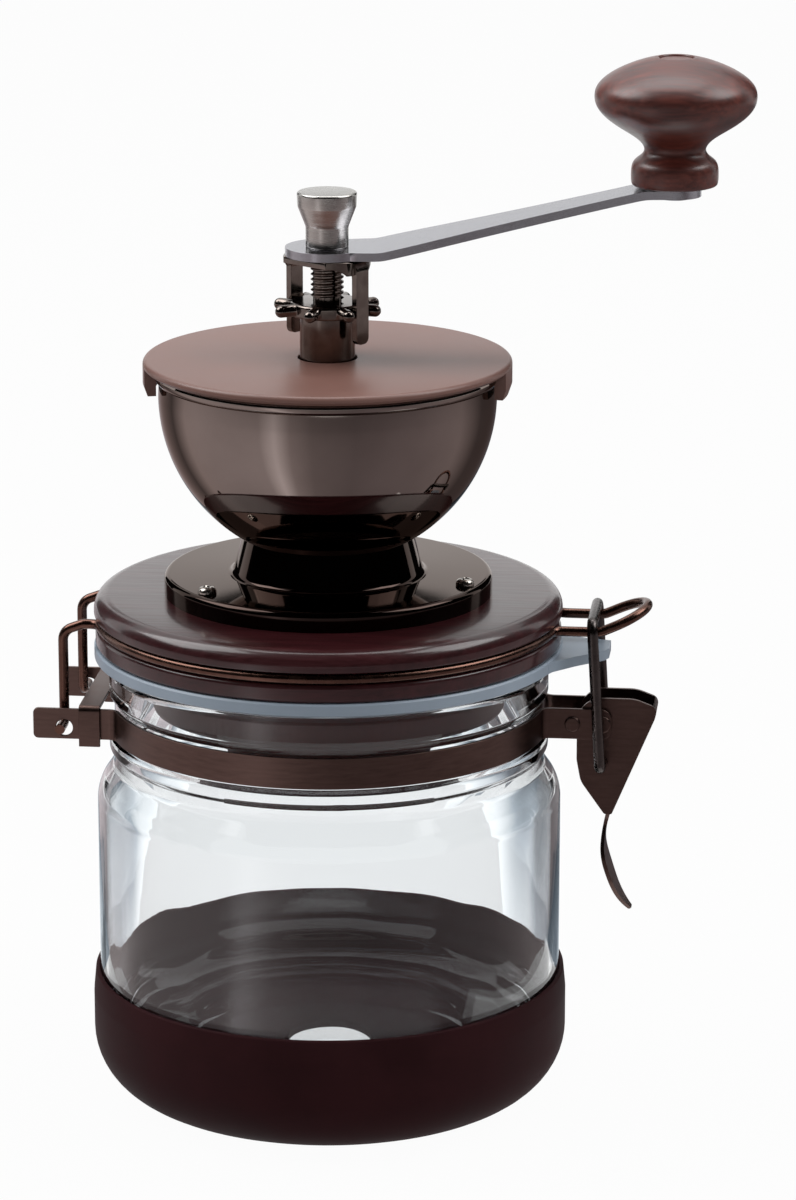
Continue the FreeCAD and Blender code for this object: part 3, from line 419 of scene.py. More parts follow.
def finish_piece(name, bm, body, finish, stands_for=(), sharp=CORNER):
    """Makes a bmesh an object with smooth sides and sharp corners, and puts it on its body."""
    mesh = bpy.data.meshes.new(name)
    bm.to_mesh(mesh)
    bm.free()
    mesh.polygons.foreach_set("use_smooth", [True] * len(mesh.polygons))
    mesh.set_sharp_from_angle(angle=math.radians(sharp))
    mesh.materials.append(finish)
    piece = bpy.data.objects.new(name, mesh)
    bpy.context.scene.collection.objects.link(piece)
    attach(piece, body)
    if stands_for:
        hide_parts(*stands_for)
    print(name, len(mesh.polygons), "faces")
    return piece


def turn_about_z(bm, degrees):
    """Turns a whole bmesh about the upright axis."""
    turn = Matrix.Rotation(math.radians(degrees), 3, "Z")
    bmesh.ops.rotate(bm, verts=bm.verts, cent=(0, 0, 0), matrix=turn)


def slide(bm, x=0.0, z=0.0):
    """Moves a whole bmesh, in millimetres."""
    bmesh.ops.translate(bm, verts=bm.verts, vec=Vector((x, 0.0, z)) * MM)


print("corners over", CORNER, "degrees stay sharp")

# %% [markdown]
# ## Sleeve
# The sleeve is a soft cup with a large rounded foot and a hole in its floor. It could be a cylinder with a
# Solidify modifier, but its wall thins towards the top, so its outside and its inside are one closed
# profile.

# %% sleeve
JAR_R = 56.3
SLEEVE_R = 57.98
SLEEVE_IN_R = JAR_R + 0.05
SLEEVE_TOP = 31.0
SLEEVE_FLOOR = 1.85
HOLE_R = 10.5
sleeve = lathe([
    (HOLE_R, 0.0, 0.5), (SLEEVE_R, 0.0, 16.0), (SLEEVE_R, 25.0, 8.0), (57.4, SLEEVE_TOP, 0.5),
    (SLEEVE_IN_R, SLEEVE_TOP, 0.3), (SLEEVE_IN_R, SLEEVE_FLOOR, 14.35), (HOLE_R, SLEEVE_FLOOR, 0.4)])
finish_piece("sleeve_moulding", sleeve, "jar", sleeve_silicone, ["base_sleeve"])

# %% [markdown]
# ## Jar
# The jar has a thick floor with a faint ring in it, a shoulder, a bead, a groove for the strap and a rolled
# lip. Its outside follows the CAD model. Its wall is thinner than there, because the grey edge of the glass
# is narrow in the photograph. One skin with a Solidify modifier would have the same thickness all over, and
# the floor is thicker than the wall, so the profile runs up the outside and down the inside. Pressed glass
# is never quite even, so the inside wall is pushed in and out a little by noise.

# %% jar
JAR_BOTTOM = 1.9
LIP_TOP = 108.95
BEAD_R = 53.2
SHOULDER_TOP_R = 52.1
STRAP_GROOVE_R = 51.9
MOUTH_R = 48.6
WALL_IN_R = 54.2
WAVE_DEPTH = 0.3
WAVES_AROUND = 5.0
WAVE_TALL = 50.0 * MM
WAVE_TURN = Matrix.Rotation(math.radians(3.0), 3, "Z")
WAVY_FROM_R = 40.0 * MM
WAVY_TO_R = 54.5 * MM
WAVY_FROM_Z = 13.0 * MM
WAVY_TO_Z = 75.0 * MM
outside = [
    (0.0, JAR_BOTTOM), (JAR_R, JAR_BOTTOM, 14.3), (JAR_R, 77.2, 9.0), (SHOULDER_TOP_R, 83.2, 3.0),
    (SHOULDER_TOP_R, 86.3, 0.8), (BEAD_R, 87.6, 1.2), (BEAD_R, 90.0, 1.2), (STRAP_GROOVE_R, 91.0, 0.6),
    (STRAP_GROOVE_R, 99.6, 0.6), (BEAD_R, 101.2, 1.5), (BEAD_R, LIP_TOP, 2.2)]
inside = [
    (MOUTH_R, LIP_TOP, 2.0), (MOUTH_R, 84.2, 9.0), (WALL_IN_R, 75.9, 8.0), (WALL_IN_R, 14.5, 11.0),
    (40.0, 14.6, 3.0), (37.0, 15.3, 3.0), (33.0, 14.8, 4.0), (0.0, 15.4)]
jar = lathe(outside + inside, closed=False)
for vert in jar.verts:
    outward = Vector((vert.co.x, vert.co.y, 0.0)).normalized()
    if WAVY_FROM_R < math.hypot(*vert.co.xy) < WAVY_TO_R and WAVY_FROM_Z < vert.co.z < WAVY_TO_Z:
        swell = noise.noise(WAVE_TURN @ outward * WAVES_AROUND + Vector((0, 0, vert.co.z / WAVE_TALL)))
        vert.co += outward * WAVE_DEPTH * MM * swell
jar_piece = finish_piece("jar_glass_wall", jar, "jar", jar_glass, ["glass_jar"], sharp=60.0)

# %% [markdown]
# ## Lid
# The lid is a turned wooden disc with a rounded upper edge and a groove for the wire. The groove could be
# cut with a boolean, but on a lathed piece it is only four more points of the profile, and its corners
# round like the others.

# %% lid
LID_TOP = 125.5
LID_BOTTOM = 113.15
LID_R = 56.5
LID_LOWER_R = 56.2
LID_BORE_R = 20.0
WIRE_GROOVE_R = 54.18
WIRE_GROOVE_LOW = 117.6
WIRE_GROOVE_HIGH = 120.3
lid = lathe([
    (LID_BORE_R, LID_BOTTOM), (LID_LOWER_R, LID_BOTTOM, 1.1), (LID_LOWER_R, WIRE_GROOVE_LOW, 1.1),
    (WIRE_GROOVE_R, WIRE_GROOVE_LOW, 0.6), (WIRE_GROOVE_R, WIRE_GROOVE_HIGH, 0.6),
    (LID_R, WIRE_GROOVE_HIGH, 0.7), (LID_R, LID_TOP, 3.8), (LID_BORE_R, LID_TOP, 0.5)])
finish_piece("lid_turning", lid, "lid", lid_wood, ["wood_lid"])

# %% [markdown]
# ## Gasket
# The silicone ring under the lid has a pull tab beside the latch. The tab could be a second piece laid over
# the ring, but it is moulded in one with it. So the faces of the ring's rim at the tab are extruded, and
# each new vertex is drawn out to the tab's outline, which is found where a ray from the middle meets it.

# %% gasket with its pull tab
GASKET_BOTTOM = 109.0
GASKET_TOP = 113.1
GASKET_IN_R = 44.3
GASKET_R = 56.55
GASKET_STEPS = 180
RIM_FROM_R = 56.3
TAB_ROOT_R = 56.6
TAB_LOW_Z = 110.3
TAB_HIGH_Z = 112.7
TAB_FROM = -16.0
TAB_TO = 14.0
TAB_OUTLINE = [(46.0, -24.0), (60.5, -8.0), (67.9, -1.5), (67.9, 8.0), (61.5, 8.8), (46.0, 18.0)]
RAY_LENGTH = 100


def tab_reach(degrees):
    """How far out the pull tab's outline lies at an azimuth, in millimetres."""
    ray = Vector((math.cos(math.radians(degrees)), math.sin(math.radians(degrees))))
    for start, end in zip(TAB_OUTLINE, TAB_OUTLINE[1:]):
        hit = geometry.intersect_line_line_2d((0, 0), ray * RAY_LENGTH, start, end)
        if hit:
            return hit.length
    return 0.0


def azimuth_of(point):
    """Azimuth of a point, in degrees."""
    return math.degrees(math.atan2(point.y, point.x))


def under_pull_tab(face):
    """True for faces of the gasket's rim that the tab grows from."""
    middle = face.calc_center_median()
    on_rim = TAB_LOW_Z * MM < middle.z < TAB_HIGH_Z * MM and math.hypot(*middle.xy) > RIM_FROM_R * MM
    return on_rim and TAB_FROM < azimuth_of(middle) < TAB_TO


gasket = lathe([
    (GASKET_IN_R, GASKET_BOTTOM, 0.6), (53.6, GASKET_BOTTOM, 1.5), (GASKET_R, TAB_LOW_Z),
    (GASKET_R, TAB_HIGH_Z), (56.2, GASKET_TOP), (GASKET_IN_R, GASKET_TOP, 0.6)], steps=GASKET_STEPS)
tab_rim = [f for f in gasket.faces if under_pull_tab(f)]
drawn = bmesh.ops.extrude_face_region(gasket, geom=tab_rim)["geom"]
bmesh.ops.delete(gasket, geom=tab_rim, context="FACES")
for vert in [g for g in drawn if isinstance(g, bmesh.types.BMVert)]:
    reach = max(TAB_ROOT_R, tab_reach(azimuth_of(vert.co))) * MM / math.hypot(*vert.co.xy)
    bmesh.ops.scale(gasket, verts=[vert], vec=(reach, reach, 1.0))
finish_piece("gasket_ring", gasket, "lid", gasket_silicone, ["gasket"])

# %% [markdown]
# ## Hopper bowl
# The bowl is a spun steel hemisphere with a curled rim. It could be lathed like the jar, but a sphere is
# rounder than any profile of a few points. So a sphere is cut level at the neck and at its equator, its
# upper edge is drawn up and curled over ring by ring, and a Solidify modifier gives the sheet its
# thickness.

# %% hopper bowl
BOWL_R = 39.5
BOWL_MIDDLE = 174.0
BOWL_CUT = 139.7
BOWL_RINGS = 96
RIM_ABOVE = 170.0
RIM_CURL = [(39.5, 178.2), (40.25, 178.45), (40.7, 179.2), (40.3, 179.95), (39.5, 180.2), (39.1, 179.9)]
BOWL_SHEET = 0.9
bowl = bmesh.new()
bmesh.ops.create_uvsphere(bowl, u_segments=STEPS, v_segments=BOWL_RINGS, radius=BOWL_R * MM)
slide(bowl, z=BOWL_MIDDLE)
for height, upward in ((BOWL_MIDDLE, 1.0), (BOWL_CUT, -1.0)):
    bmesh.ops.bisect_plane(bowl, geom=list(bowl.verts) + list(bowl.edges) + list(bowl.faces), dist=SAME_PLACE,
                           plane_co=(0, 0, height * MM), plane_no=(0, 0, upward), clear_outer=True)
rim = [e for e in bowl.edges if e.is_boundary and e.verts[0].co.z > RIM_ABOVE * MM]
for radius, height in RIM_CURL:
    grown = bmesh.ops.extrude_edge_only(bowl, edges=rim)["geom"]
    rim = [g for g in grown if isinstance(g, bmesh.types.BMEdge)]
    for vert in [g for g in grown if isinstance(g, bmesh.types.BMVert)]:
        out = radius * MM / math.hypot(*vert.co.xy)
        bmesh.ops.scale(bowl, verts=[vert], vec=(out, out, 1.0))
        bmesh.ops.translate(bowl, verts=[vert], vec=(0, 0, height * MM - vert.co.z))
bmesh.ops.recalc_face_normals(bowl, faces=bowl.faces)
if bowl.calc_volume(signed=True) < 0:
    bmesh.ops.reverse_faces(bowl, faces=bowl.faces)
bowl_piece = finish_piece("hopper_spinning", bowl, "lid", black_nickel, ["hopper_bowl"],
                          sharp=70.0)
wall = bowl_piece.modifiers.new("sheet", "SOLIDIFY")
wall.thickness = BOWL_SHEET * MM
wall.offset = -1.0

# %% [markdown]
# ## Hopper base
# The base is pressed from one sheet: a neck that flares into a flat flange, whose edge is turned down on to
# the lid. A flat disc and a tube would leave a seam at the flare, so both are one profile with both sides
# of the sheet.

# %% hopper base
FLANGE_R = 39.5
FLANGE_IN_R = 38.5
FLANGE_TOP = 130.3
FLANGE_UNDER = 129.3
NECK_TOP = 139.5
base = lathe([
    (20.5, NECK_TOP, 0.4), (23.0, FLANGE_TOP, 1.6), (FLANGE_R, FLANGE_TOP, 1.4), (FLANGE_R, LID_TOP),
    (FLANGE_IN_R, LID_TOP), (FLANGE_IN_R, FLANGE_UNDER, 0.5), (22.0, FLANGE_UNDER, 2.4),
    (19.45, NECK_TOP, 0.3)])
finish_piece("hopper_flange", base, "lid", base_nickel, ["hopper_base"])

# %% [markdown]
# ## Cover
# The cover is a moulded disc with a rounded edge and two tabs that hang over the bowl's rim. Blocks could
# be joined to the disc, but they would not follow its curve. So the faces under its rim within each tab's
# angle are extruded down, and the outermost ones less far, which chamfers each tab's outer lower edge.

# %% cover
COVER_R = 44.0
COVER_BORE_R = 7.1
COVER_BOTTOM = 180.3
COVER_TOP = 182.8
COVER_EDGE_LOW = 180.7
COVER_STEPS = 240
COVER_TAB_AZIMUTH = 3.0
COVER_TAB_HALF = 13.5
COVER_TAB_FROM_R = 41.1
COVER_TAB_TO_R = 43.95
COVER_TAB_ROOT = 181.3
COVER_TAB_BOTTOM = 174.9
CHAMFER_FROM_R = 43.6
CHAMFER_BOTTOM = 177.2


def in_tab(face):
    """True for faces of the cover's underside rim that carry a tab."""
    middle = face.calc_center_median()
    off = (azimuth_of(middle) - COVER_TAB_AZIMUTH + 90.0) % 180.0 - 90.0
    on_rim = COVER_TAB_FROM_R * MM < math.hypot(*middle.xy) < COVER_TAB_TO_R * MM
    return abs(off) < COVER_TAB_HALF and on_rim and middle.z < COVER_TAB_ROOT * MM


cover = lathe([
    (COVER_BORE_R, COVER_BOTTOM, 0.3), (40.9, COVER_BOTTOM), (41.2, COVER_EDGE_LOW), (43.2, COVER_EDGE_LOW),
    (COVER_R, 181.4), (COVER_R, COVER_TOP, 1.2), (COVER_BORE_R, COVER_TOP, 0.3)], steps=COVER_STEPS)
under = [f for f in cover.faces if in_tab(f)]
drawn = bmesh.ops.extrude_face_region(cover, geom=under)["geom"]
bmesh.ops.delete(cover, geom=under, context="FACES")
for vert in [g for g in drawn if isinstance(g, bmesh.types.BMVert)]:
    bottom = CHAMFER_BOTTOM if math.hypot(*vert.co.xy) > CHAMFER_FROM_R * MM else COVER_TAB_BOTTOM
    bmesh.ops.translate(cover, verts=[vert], vec=(0, 0, bottom * MM - vert.co.z))
finish_piece("cover_moulding", cover, "cover", cover_plastic, ["hopper_cover"])

# %% [markdown]
# ## Bending wire
# The lid wire and the bail are round wire, bent in a jig. A curve with a round bevel would do, but its
# corners are hard to give an exact radius. Here a wire is made as the jig makes it: a round face is
# extruded along straight runs and spun round bends. A run is a length, and a bend is a radius, its degrees
# and the axis that it turns about.

# %% bending wire
WIRE_SIDES = 20
WIDE_BEND = 20
WIDE_BEND_STEP = 2.5
TIGHT_BEND_STEP = 9
LEAST_BEND_STEPS = 4


def round_section(diameter, start, heading):
    """Bmesh with the one round face that a wire is swept from."""
    bm = bmesh.new()
    aim = Vector((0, 0, 1)).rotation_difference(Vector(heading)).to_matrix().to_4x4()
    bmesh.ops.create_circle(bm, cap_ends=True, radius=diameter / 2 * MM, segments=WIRE_SIDES,
                            matrix=Matrix.Translation(Vector(start) * MM) @ aim)
    return bm


def sweep(bm, start, heading, moves):
    """Pushes the one flat face of a bmesh along runs and bends; gives back where it ends, in millimetres."""
    bm.faces.ensure_lookup_table()
    face = bm.faces[0]
    place = Vector(start) * MM
    heading = Vector(heading).normalized()
    for number, move in enumerate(moves):
        if len(move) == 1:
            step = heading * move[0] * MM
            grown = bmesh.ops.extrude_face_region(bm, geom=[face])["geom"]
            bmesh.ops.translate(bm, verts=[g for g in grown if isinstance(g, bmesh.types.BMVert)], vec=step)
            if number > 0:
                bmesh.ops.delete(bm, geom=[face], context="FACES_ONLY")
            place += step
        else:
            radius, degrees, axis = move
            axis = Vector(axis).normalized()
            centre = place + axis.cross(heading) * radius * MM
            per_step = WIDE_BEND_STEP if radius > WIDE_BEND else TIGHT_BEND_STEP
            geom = [face] + list(face.edges) + list(face.verts)
            grown = bmesh.ops.spin(bm, geom=geom, cent=centre, axis=axis, angle=math.radians(degrees),
                                   steps=max(LEAST_BEND_STEPS, int(degrees / per_step)))["geom_last"]
            turn = Matrix.Rotation(math.radians(degrees), 3, axis)
            place = centre + turn @ (place - centre)
            heading = turn @ heading
        face = next(g for g in grown if isinstance(g, bmesh.types.BMFace))
    bmesh.ops.recalc_face_normals(bm, faces=bm.faces)
    return place / MM


def far_side(moves):
    """The same moves read backwards, with the sideways part of each axis changed in sign."""
    return [move if len(move) == 1 else (move[0], move[1], (move[2][0], -move[2][1], move[2][2]))
            for move in reversed(moves)]


print("wire with", WIRE_SIDES, "sides")

# %% [markdown]
# ## Lid wire
# The lid wire is one length of wire: hinge pin, leg, ring in the lid's groove, upturned nose, and the same
# again in reverse on the far side. It could be modelled as half a wire and mirrored, but then the two
# halves would have to be joined at the nose. So the far half is the near half's list of moves read
# backwards.

# %% lid wire
LID_WIRE = 2.4
PIN_X = 62.6
PIN_END_Y = 20.35
PIN_Z = 94.3
PIN_BEND = 2.0
LEG_Y = 13.6
LEG_DROP = 1.8
SLOPE_END_X = 57.6
SLOPE_TOP_BEND = 3.0
LEG_TOP_BEND = 3.2
RING_R = 55.4
RING_Z = 118.95
RING_BEND = 3.0
NOSE_Y = 8.2
NOSE_X = 66.2
NOSE_BEND = 5.0
NOSE_RUN = 3.6
NOSE_TILT = 24.0


def ring_bend(line_y):
    """Where a wire at line_y starts to bend on to the ring, its degrees, and the azimuth on the ring."""
    across = line_y + RING_BEND
    along = math.sqrt((RING_R + RING_BEND) ** 2 - across ** 2)
    return along, math.degrees(math.atan2(along, across)), math.degrees(math.atan2(across, along))


def bend_reach(radius, degrees):
    """How much of a straight run a bend takes up."""
    return radius * math.tan(math.radians(degrees / 2))


leg_x, leg_turn, leg_azimuth = ring_bend(LEG_Y)
nose_x, nose_turn, nose_azimuth = ring_bend(NOSE_Y)
leg_slope = math.degrees(math.atan2(LEG_DROP, PIN_X - SLOPE_END_X))
leg_reach = bend_reach(LEG_TOP_BEND, 90.0 - leg_slope)
slope_reach = bend_reach(SLOPE_TOP_BEND, leg_slope)
nose_reach = bend_reach(NOSE_BEND, NOSE_TILT)
tilt = math.radians(NOSE_TILT)
near_side = [
    (PIN_END_Y - LEG_Y - PIN_BEND,), (PIN_BEND, 90.0, (1, 0, 0)),
    (RING_Z - LEG_DROP - leg_reach - PIN_Z - PIN_BEND,), (LEG_TOP_BEND, 90.0 - leg_slope, (0, 1, 0)),
    (math.hypot(LEG_DROP, PIN_X - SLOPE_END_X) - leg_reach - slope_reach,),
    (SLOPE_TOP_BEND, leg_slope, (0, 1, 0)), (SLOPE_END_X - slope_reach - leg_x,),
    (RING_BEND, leg_turn, (0, 0, -1)), (RING_R, 180.0 - leg_azimuth - nose_azimuth, (0, 0, 1)),
    (RING_BEND, nose_turn, (0, 0, -1)), (NOSE_X - nose_reach - nose_x,),
    (NOSE_BEND, NOSE_TILT, (0, -1, 0)), (NOSE_RUN - nose_reach,)]
nose_loop = [(NOSE_Y, 180.0, (-math.sin(tilt), 0, math.cos(tilt)))]
pin_start = (-PIN_X, -PIN_END_Y, PIN_Z)
wire = round_section(LID_WIRE, pin_start, (0, 1, 0))
wire_end = sweep(wire, pin_start, (0, 1, 0), near_side + nose_loop + far_side(near_side))
finish_piece("lid_wire_bent", wire, "lid", bronze_wire, ["lid_wire"])
print("lid wire ends at", [round(v, 2) for v in wire_end])

# %% [markdown]
# ## Bail
# The bail is a wire loop that pulls the lid wire's nose down: a foot at the lever, a leg, the bar at the
# nose, and the same again in reverse. It leans a little, so its bends turn about axes that are worked out
# from its lean. Turning a straight loop would do too, but then its feet would have to be set back at the
# lever's studs.

# %% bail
BAIL_WIRE = 2.6
BAIL_HALF = 11.0
FOOT_X = 66.6
FOOT_Y = 6.95
FOOT_Z = 85.3
FOOT_BEND = 2.2
BAR_X = 64.4
BAR_Z = 121.5
BAR_BEND = 2.6
foot = Vector((FOOT_X, -FOOT_Y, FOOT_Z))
lean = Vector((BAR_X - FOOT_X, 0.0, BAR_Z - FOOT_Z))
upright = lean.normalized()
foot_axis = Vector((0, -1, 0)).cross(upright)
bar_axis = upright.cross(Vector((0, 1, 0)))
near_side = [
    (BAIL_HALF - FOOT_BEND - FOOT_Y,), (FOOT_BEND, 90.0, foot_axis), (lean.length - FOOT_BEND - BAR_BEND,),
    (BAR_BEND, 90.0, bar_axis)]
bar = [(2 * (BAIL_HALF - BAR_BEND),)]
bail = round_section(BAIL_WIRE, foot, (0, -1, 0))
bail_end = sweep(bail, foot, (0, -1, 0), near_side + bar + far_side(near_side))
finish_piece("bail_wire_bent", bail, "bail", dark_wire, ["latch_bail"])
print("bail ends at", [round(v, 2) for v in bail_end])

# %% [markdown]
# ## Cap nut
# The cap nut is turned from stainless bar, with a waist below its head to hold it by. Two cones would meet
# in a hard line, so the waist is one corner of a profile, rounded as a lathe tool with a round nose leaves
# it.

# %% cap nut
CAP_TOP = 222.7
CAP_BOTTOM = 209.5
CAP_STEPS = 96
cap = lathe([
    (0.0, 216.2), (3.45, 216.2), (3.45, CAP_BOTTOM, 0.3), (5.1, CAP_BOTTOM, 0.3), (5.1, 214.4, 1.5),
    (7.0, 219.3, 1.2), (7.15, CAP_TOP, 0.6), (0.0, CAP_TOP)], steps=CAP_STEPS, closed=False)
finish_piece("cap_nut_turning", cap, "crank", turned_steel, ["cap_nut"])

# %% [markdown]
# ## Knob
# The knob is turned wood: a foot, a narrow neck and a wide flat head. Each bend of its line could be an
# arc, but the line of a hand turning flows without a break. So the profile has few points, and a
# Subdivision Surface draws the swelling line along them. The plug in its top and the post that it turns
# on are lathed, and all three are made on the main axis and then moved out along the arm.

# %% knob
ARM_AZIMUTH = 9.0
CRANK_R = 82.3
KNOB_STEPS = 72
SMALL_STEPS = 48
SMOOTHINGS = 2
PLUG_R = 3.95
PLUG_BOTTOM = 250.2
PLUG_TOP = 253.5


def out_on_arm(bm):
    """Moves a piece that was made on the main axis to the knob's axis."""
    slide(bm, x=CRANK_R)
    turn_about_z(bm, ARM_AZIMUTH)


knob = lathe([
    (2.68, 248.6), (2.68, 223.2), (9.7, 223.2), (10.35, 223.8), (10.4, 226.0), (10.35, 227.9), (9.8, 229.3),
    (8.3, 230.3), (7.3, 231.3), (7.2, 232.8), (9.3, 235.0), (13.5, 237.4), (17.0, 239.9), (18.9, 242.3),
    (19.35, 244.6), (18.95, 246.8), (16.9, 249.0), (13.2, 251.2), (8.2, 253.15), (4.4, 253.95), (4.0, 253.95),
    (4.0, 248.6)], steps=KNOB_STEPS)
out_on_arm(knob)
knob_piece = finish_piece("knob_turning", knob, "knob", knob_wood, ["knob"], sharp=60.0)
rounder = knob_piece.modifiers.new("round", "SUBSURF")
rounder.levels = SMOOTHINGS
rounder.render_levels = SMOOTHINGS

plug = lathe([(0.0, PLUG_BOTTOM), (PLUG_R, PLUG_BOTTOM), (PLUG_R, PLUG_TOP, 0.4), (0.0, PLUG_TOP)],
             steps=SMALL_STEPS, closed=False)
out_on_arm(plug)
finish_piece("knob_plug_turning", plug, "knob", knob_wood, ["knob_plug"])

post = lathe([
    (0.0, 220.3), (4.2, 220.3, 0.4), (4.2, 220.9), (2.6, 220.9), (2.6, 248.8), (2.95, 248.8),
    (2.95, 249.8, 0.5), (0.0, 249.8)], steps=SMALL_STEPS, closed=False)
out_on_arm(post)
finish_piece("knob_post_rivet", post, "crank", ground_steel, ["knob_post"])

# %% [markdown]
# ## Threaded shaft
# The shaft is a steel rod with a thread at its top. Bump could draw the thread, but its outline shows
# between the nut and the stopper. Rings would be easier than a helix, but a screw's lines slant. So a small
# ridge is spun up the shaft: spin can climb as it turns.

# %% threaded shaft
SHAFT_R = 4.0
SHAFT_TOP_R = 3.4
SHAFT_BOTTOM = 79.6
SHAFT_STEP_Z = 181.0
SHAFT_TOP = 215.6
PITCH = 1.25
TURNS = 6
TURN_STEPS = 40
RIDGE_Z = 197.25
ROOT_R = 3.3
ROOT_HALF = 0.55
CREST_R = 3.95
CREST_HALF = 0.09
core = lathe([
    (0.0, SHAFT_BOTTOM), (SHAFT_R, SHAFT_BOTTOM, 0.8), (SHAFT_R, SHAFT_STEP_Z, 0.3),
    (SHAFT_TOP_R, SHAFT_STEP_Z), (SHAFT_TOP_R, SHAFT_TOP, 0.6), (0.0, SHAFT_TOP)],
    steps=SMALL_STEPS, closed=False)
finish_piece("shaft_core", core, "crank", dark_chrome, ["shaft"])

thread = bmesh.new()
ridge = [thread.verts.new(Vector((radius, 0, RIDGE_Z + up)) * MM) for radius, up in (
    (ROOT_R, -ROOT_HALF), (CREST_R, -CREST_HALF), (CREST_R, CREST_HALF), (ROOT_R, ROOT_HALF))]
start_face = thread.faces.new(ridge)
bmesh.ops.spin(thread, geom=[start_face] + list(start_face.edges) + ridge, cent=(0, 0, 0), axis=(0, 0, 1),
               dvec=(0, 0, PITCH * MM / TURN_STEPS), angle=math.tau * TURNS, steps=TURN_STEPS * TURNS)
bmesh.ops.recalc_face_normals(thread, faces=thread.faces)
finish_piece("shaft_thread", thread, "crank", dark_chrome)

# %% [markdown]
# ## Small and inner pieces
# Screws, rivets, the folded lever, the strap, the crank arm and the mill inside already have their shapes
# in the CAD model, and making them again would only bring in errors. A CAD mesh is loose triangles, though,
# and shades flat. So a copy of each is welded, so that its curved sides shade smoothly, and sheet and bar
# get a narrow bevel that catches light along their edges.

# %% polished copies of the CAD pieces
WELD = 2e-6
FLAT_DEGREES = 0.5
COPY_CORNER = 32.0
EDGE_DEGREES = 40
EDGE_SEGMENTS = 2


def polished_copy(node, body, finish, edge_mm):
    """Welded copy of a CAD node, with a narrow bevel along its sharp edges if asked for."""
    bm = bmesh.new()
    bm.from_mesh(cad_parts[node].data)
    bmesh.ops.remove_doubles(bm, verts=bm.verts, dist=WELD)
    bmesh.ops.dissolve_limit(bm, angle_limit=math.radians(FLAT_DEGREES), verts=bm.verts, edges=bm.edges)
    piece = finish_piece(node + "_polished", bm, body, finish, [node], sharp=COPY_CORNER)
    if edge_mm:
        edge = piece.modifiers.new("edge", "BEVEL")
        edge.width = edge_mm * MM
        edge.segments = EDGE_SEGMENTS
        edge.limit_method = "ANGLE"
        edge.angle_limit = math.radians(EDGE_DEGREES)


# The last number of each row is the width of its bevel in millimetres, and 0 leaves its edges as they are.
for node, body, finish, slot, edge_mm in (
    ("front_strap", "jar", bronze_sheet, "strap_steel", 0.15),
    ("rear_strap", "jar", bronze_sheet, "strap_steel", 0.15),
    ("hinge_clip", "jar", bronze_sheet, "strap_steel", 0.15),
    ("ear_rivet", "jar", bronze_sheet, "strap_steel", 0.0),
    ("lever_pivot", "jar", bronze_sheet, "strap_steel", 0.0),
    ("latch_lever", "lever", bronze_sheet, "strap_steel", 0.12),
    ("flange_screw", "lid", bright_zinc, "screw_steel", 0.0),
    ("bearing_bridge", "lid", bright_zinc, "screw_steel", 0.0),
    ("upper_bush", "lid", bush_nylon, "bush_nylon", 0.0),
    ("holder_screw", "lid", bright_zinc, "screw_steel", 0.0),
    ("lower_bush", "lid", bush_nylon, "bush_nylon", 0.0),
    ("outer_burr", "lid", burr_ceramic, "burr_ceramic", 0.0),
    ("burr_ring", "lid", holder_plastic, "holder_plastic", 0.0),
    ("ring_screw", "lid", bright_zinc, "screw_steel", 0.0),
    ("burr_holder", "lid", holder_plastic, "holder_plastic", 0.0),
    ("inner_burr", "crank", burr_ceramic, "burr_ceramic", 0.0),
    ("burr_nut", "crank", bright_zinc, "screw_steel", 0.0),
    ("burr_washer", "crank", bright_zinc, "screw_steel", 0.0),
    ("burr_spring", "crank", bright_zinc, "spring_steel", 0.0),
    ("adjusting_nut", "crank", dark_chrome, "dark_chrome", 0.0),
    ("stopper", "crank", dark_chrome, "dark_chrome", 0.15),
    ("crank_arm", "crank", ground_steel, "arm_steel", 0.2),
):
    polished_copy(node, body, finish, edge_mm)

# %% [markdown]
# ## Floor
# The grinder stands on white paper that runs on into a white backdrop. More light on the paper would make
# it white, but would bleach the grinder too. So the paper and the world show white to the camera, and to
# rays that metal and glass send on, and are darker to the rays that light the grinder. A small share of the
# paper's own shading is left, which keeps the grinder's shadow.

# %% floor
FLOOR_WHITE = 0.965
FLOOR_HALF = 6.0


def white_share(tree, share):
    """Factor that is share for rays which show the background, and 0 for rays that only carry light."""
    path = add(tree, "ShaderNodeLightPath")
    seen = path.outputs["Is Camera Ray"]
    for kind in ("Is Transmission Ray", "Is Glossy Ray"):
        seen = add(tree, "ShaderNodeMath", {"operation": "MAXIMUM"}, None,
                   {0: seen, 1: path.outputs[kind]}).outputs[0]
    return add(tree, "ShaderNodeMath", {"operation": "MULTIPLY"}, {1: share}, {0: seen}).outputs[0]


def stage_sheet(name, bm, finish):
    """Makes a bmesh part of the studio."""
    mesh = bpy.data.meshes.new(name)
    bm.to_mesh(mesh)
    bm.free()
    mesh.materials.append(finish)
    sheet = bpy.data.objects.new(name, mesh)
    bpy.context.scene.collection.objects.link(sheet)
    print(name, "is part of the studio")
    return sheet


# Studio paper: matte, without a highlight, so that only the soft shadow shows on it.
paper, tree, shader, _ = start_finish("white_studio_paper", {
    "Base Color": colour("#a4a4a4"), "Roughness": 0.9, "Specular IOR Level": 0.1})
glow = add(tree, "ShaderNodeEmission", None, {"Color": (1, 1, 1, 1), "Strength": 1.0})
mixed = add(tree, "ShaderNodeMixShader", None, None,
            {0: white_share(tree, FLOOR_WHITE), 1: shader.outputs["BSDF"], 2: glow.outputs["Emission"]})
tree.links.new(mixed.outputs["Shader"], tree.nodes["Material Output"].inputs["Surface"])
floor = bmesh.new()
bmesh.ops.create_grid(floor, x_segments=1, y_segments=1, size=FLOOR_HALF)
stage_sheet("floor", floor, paper)

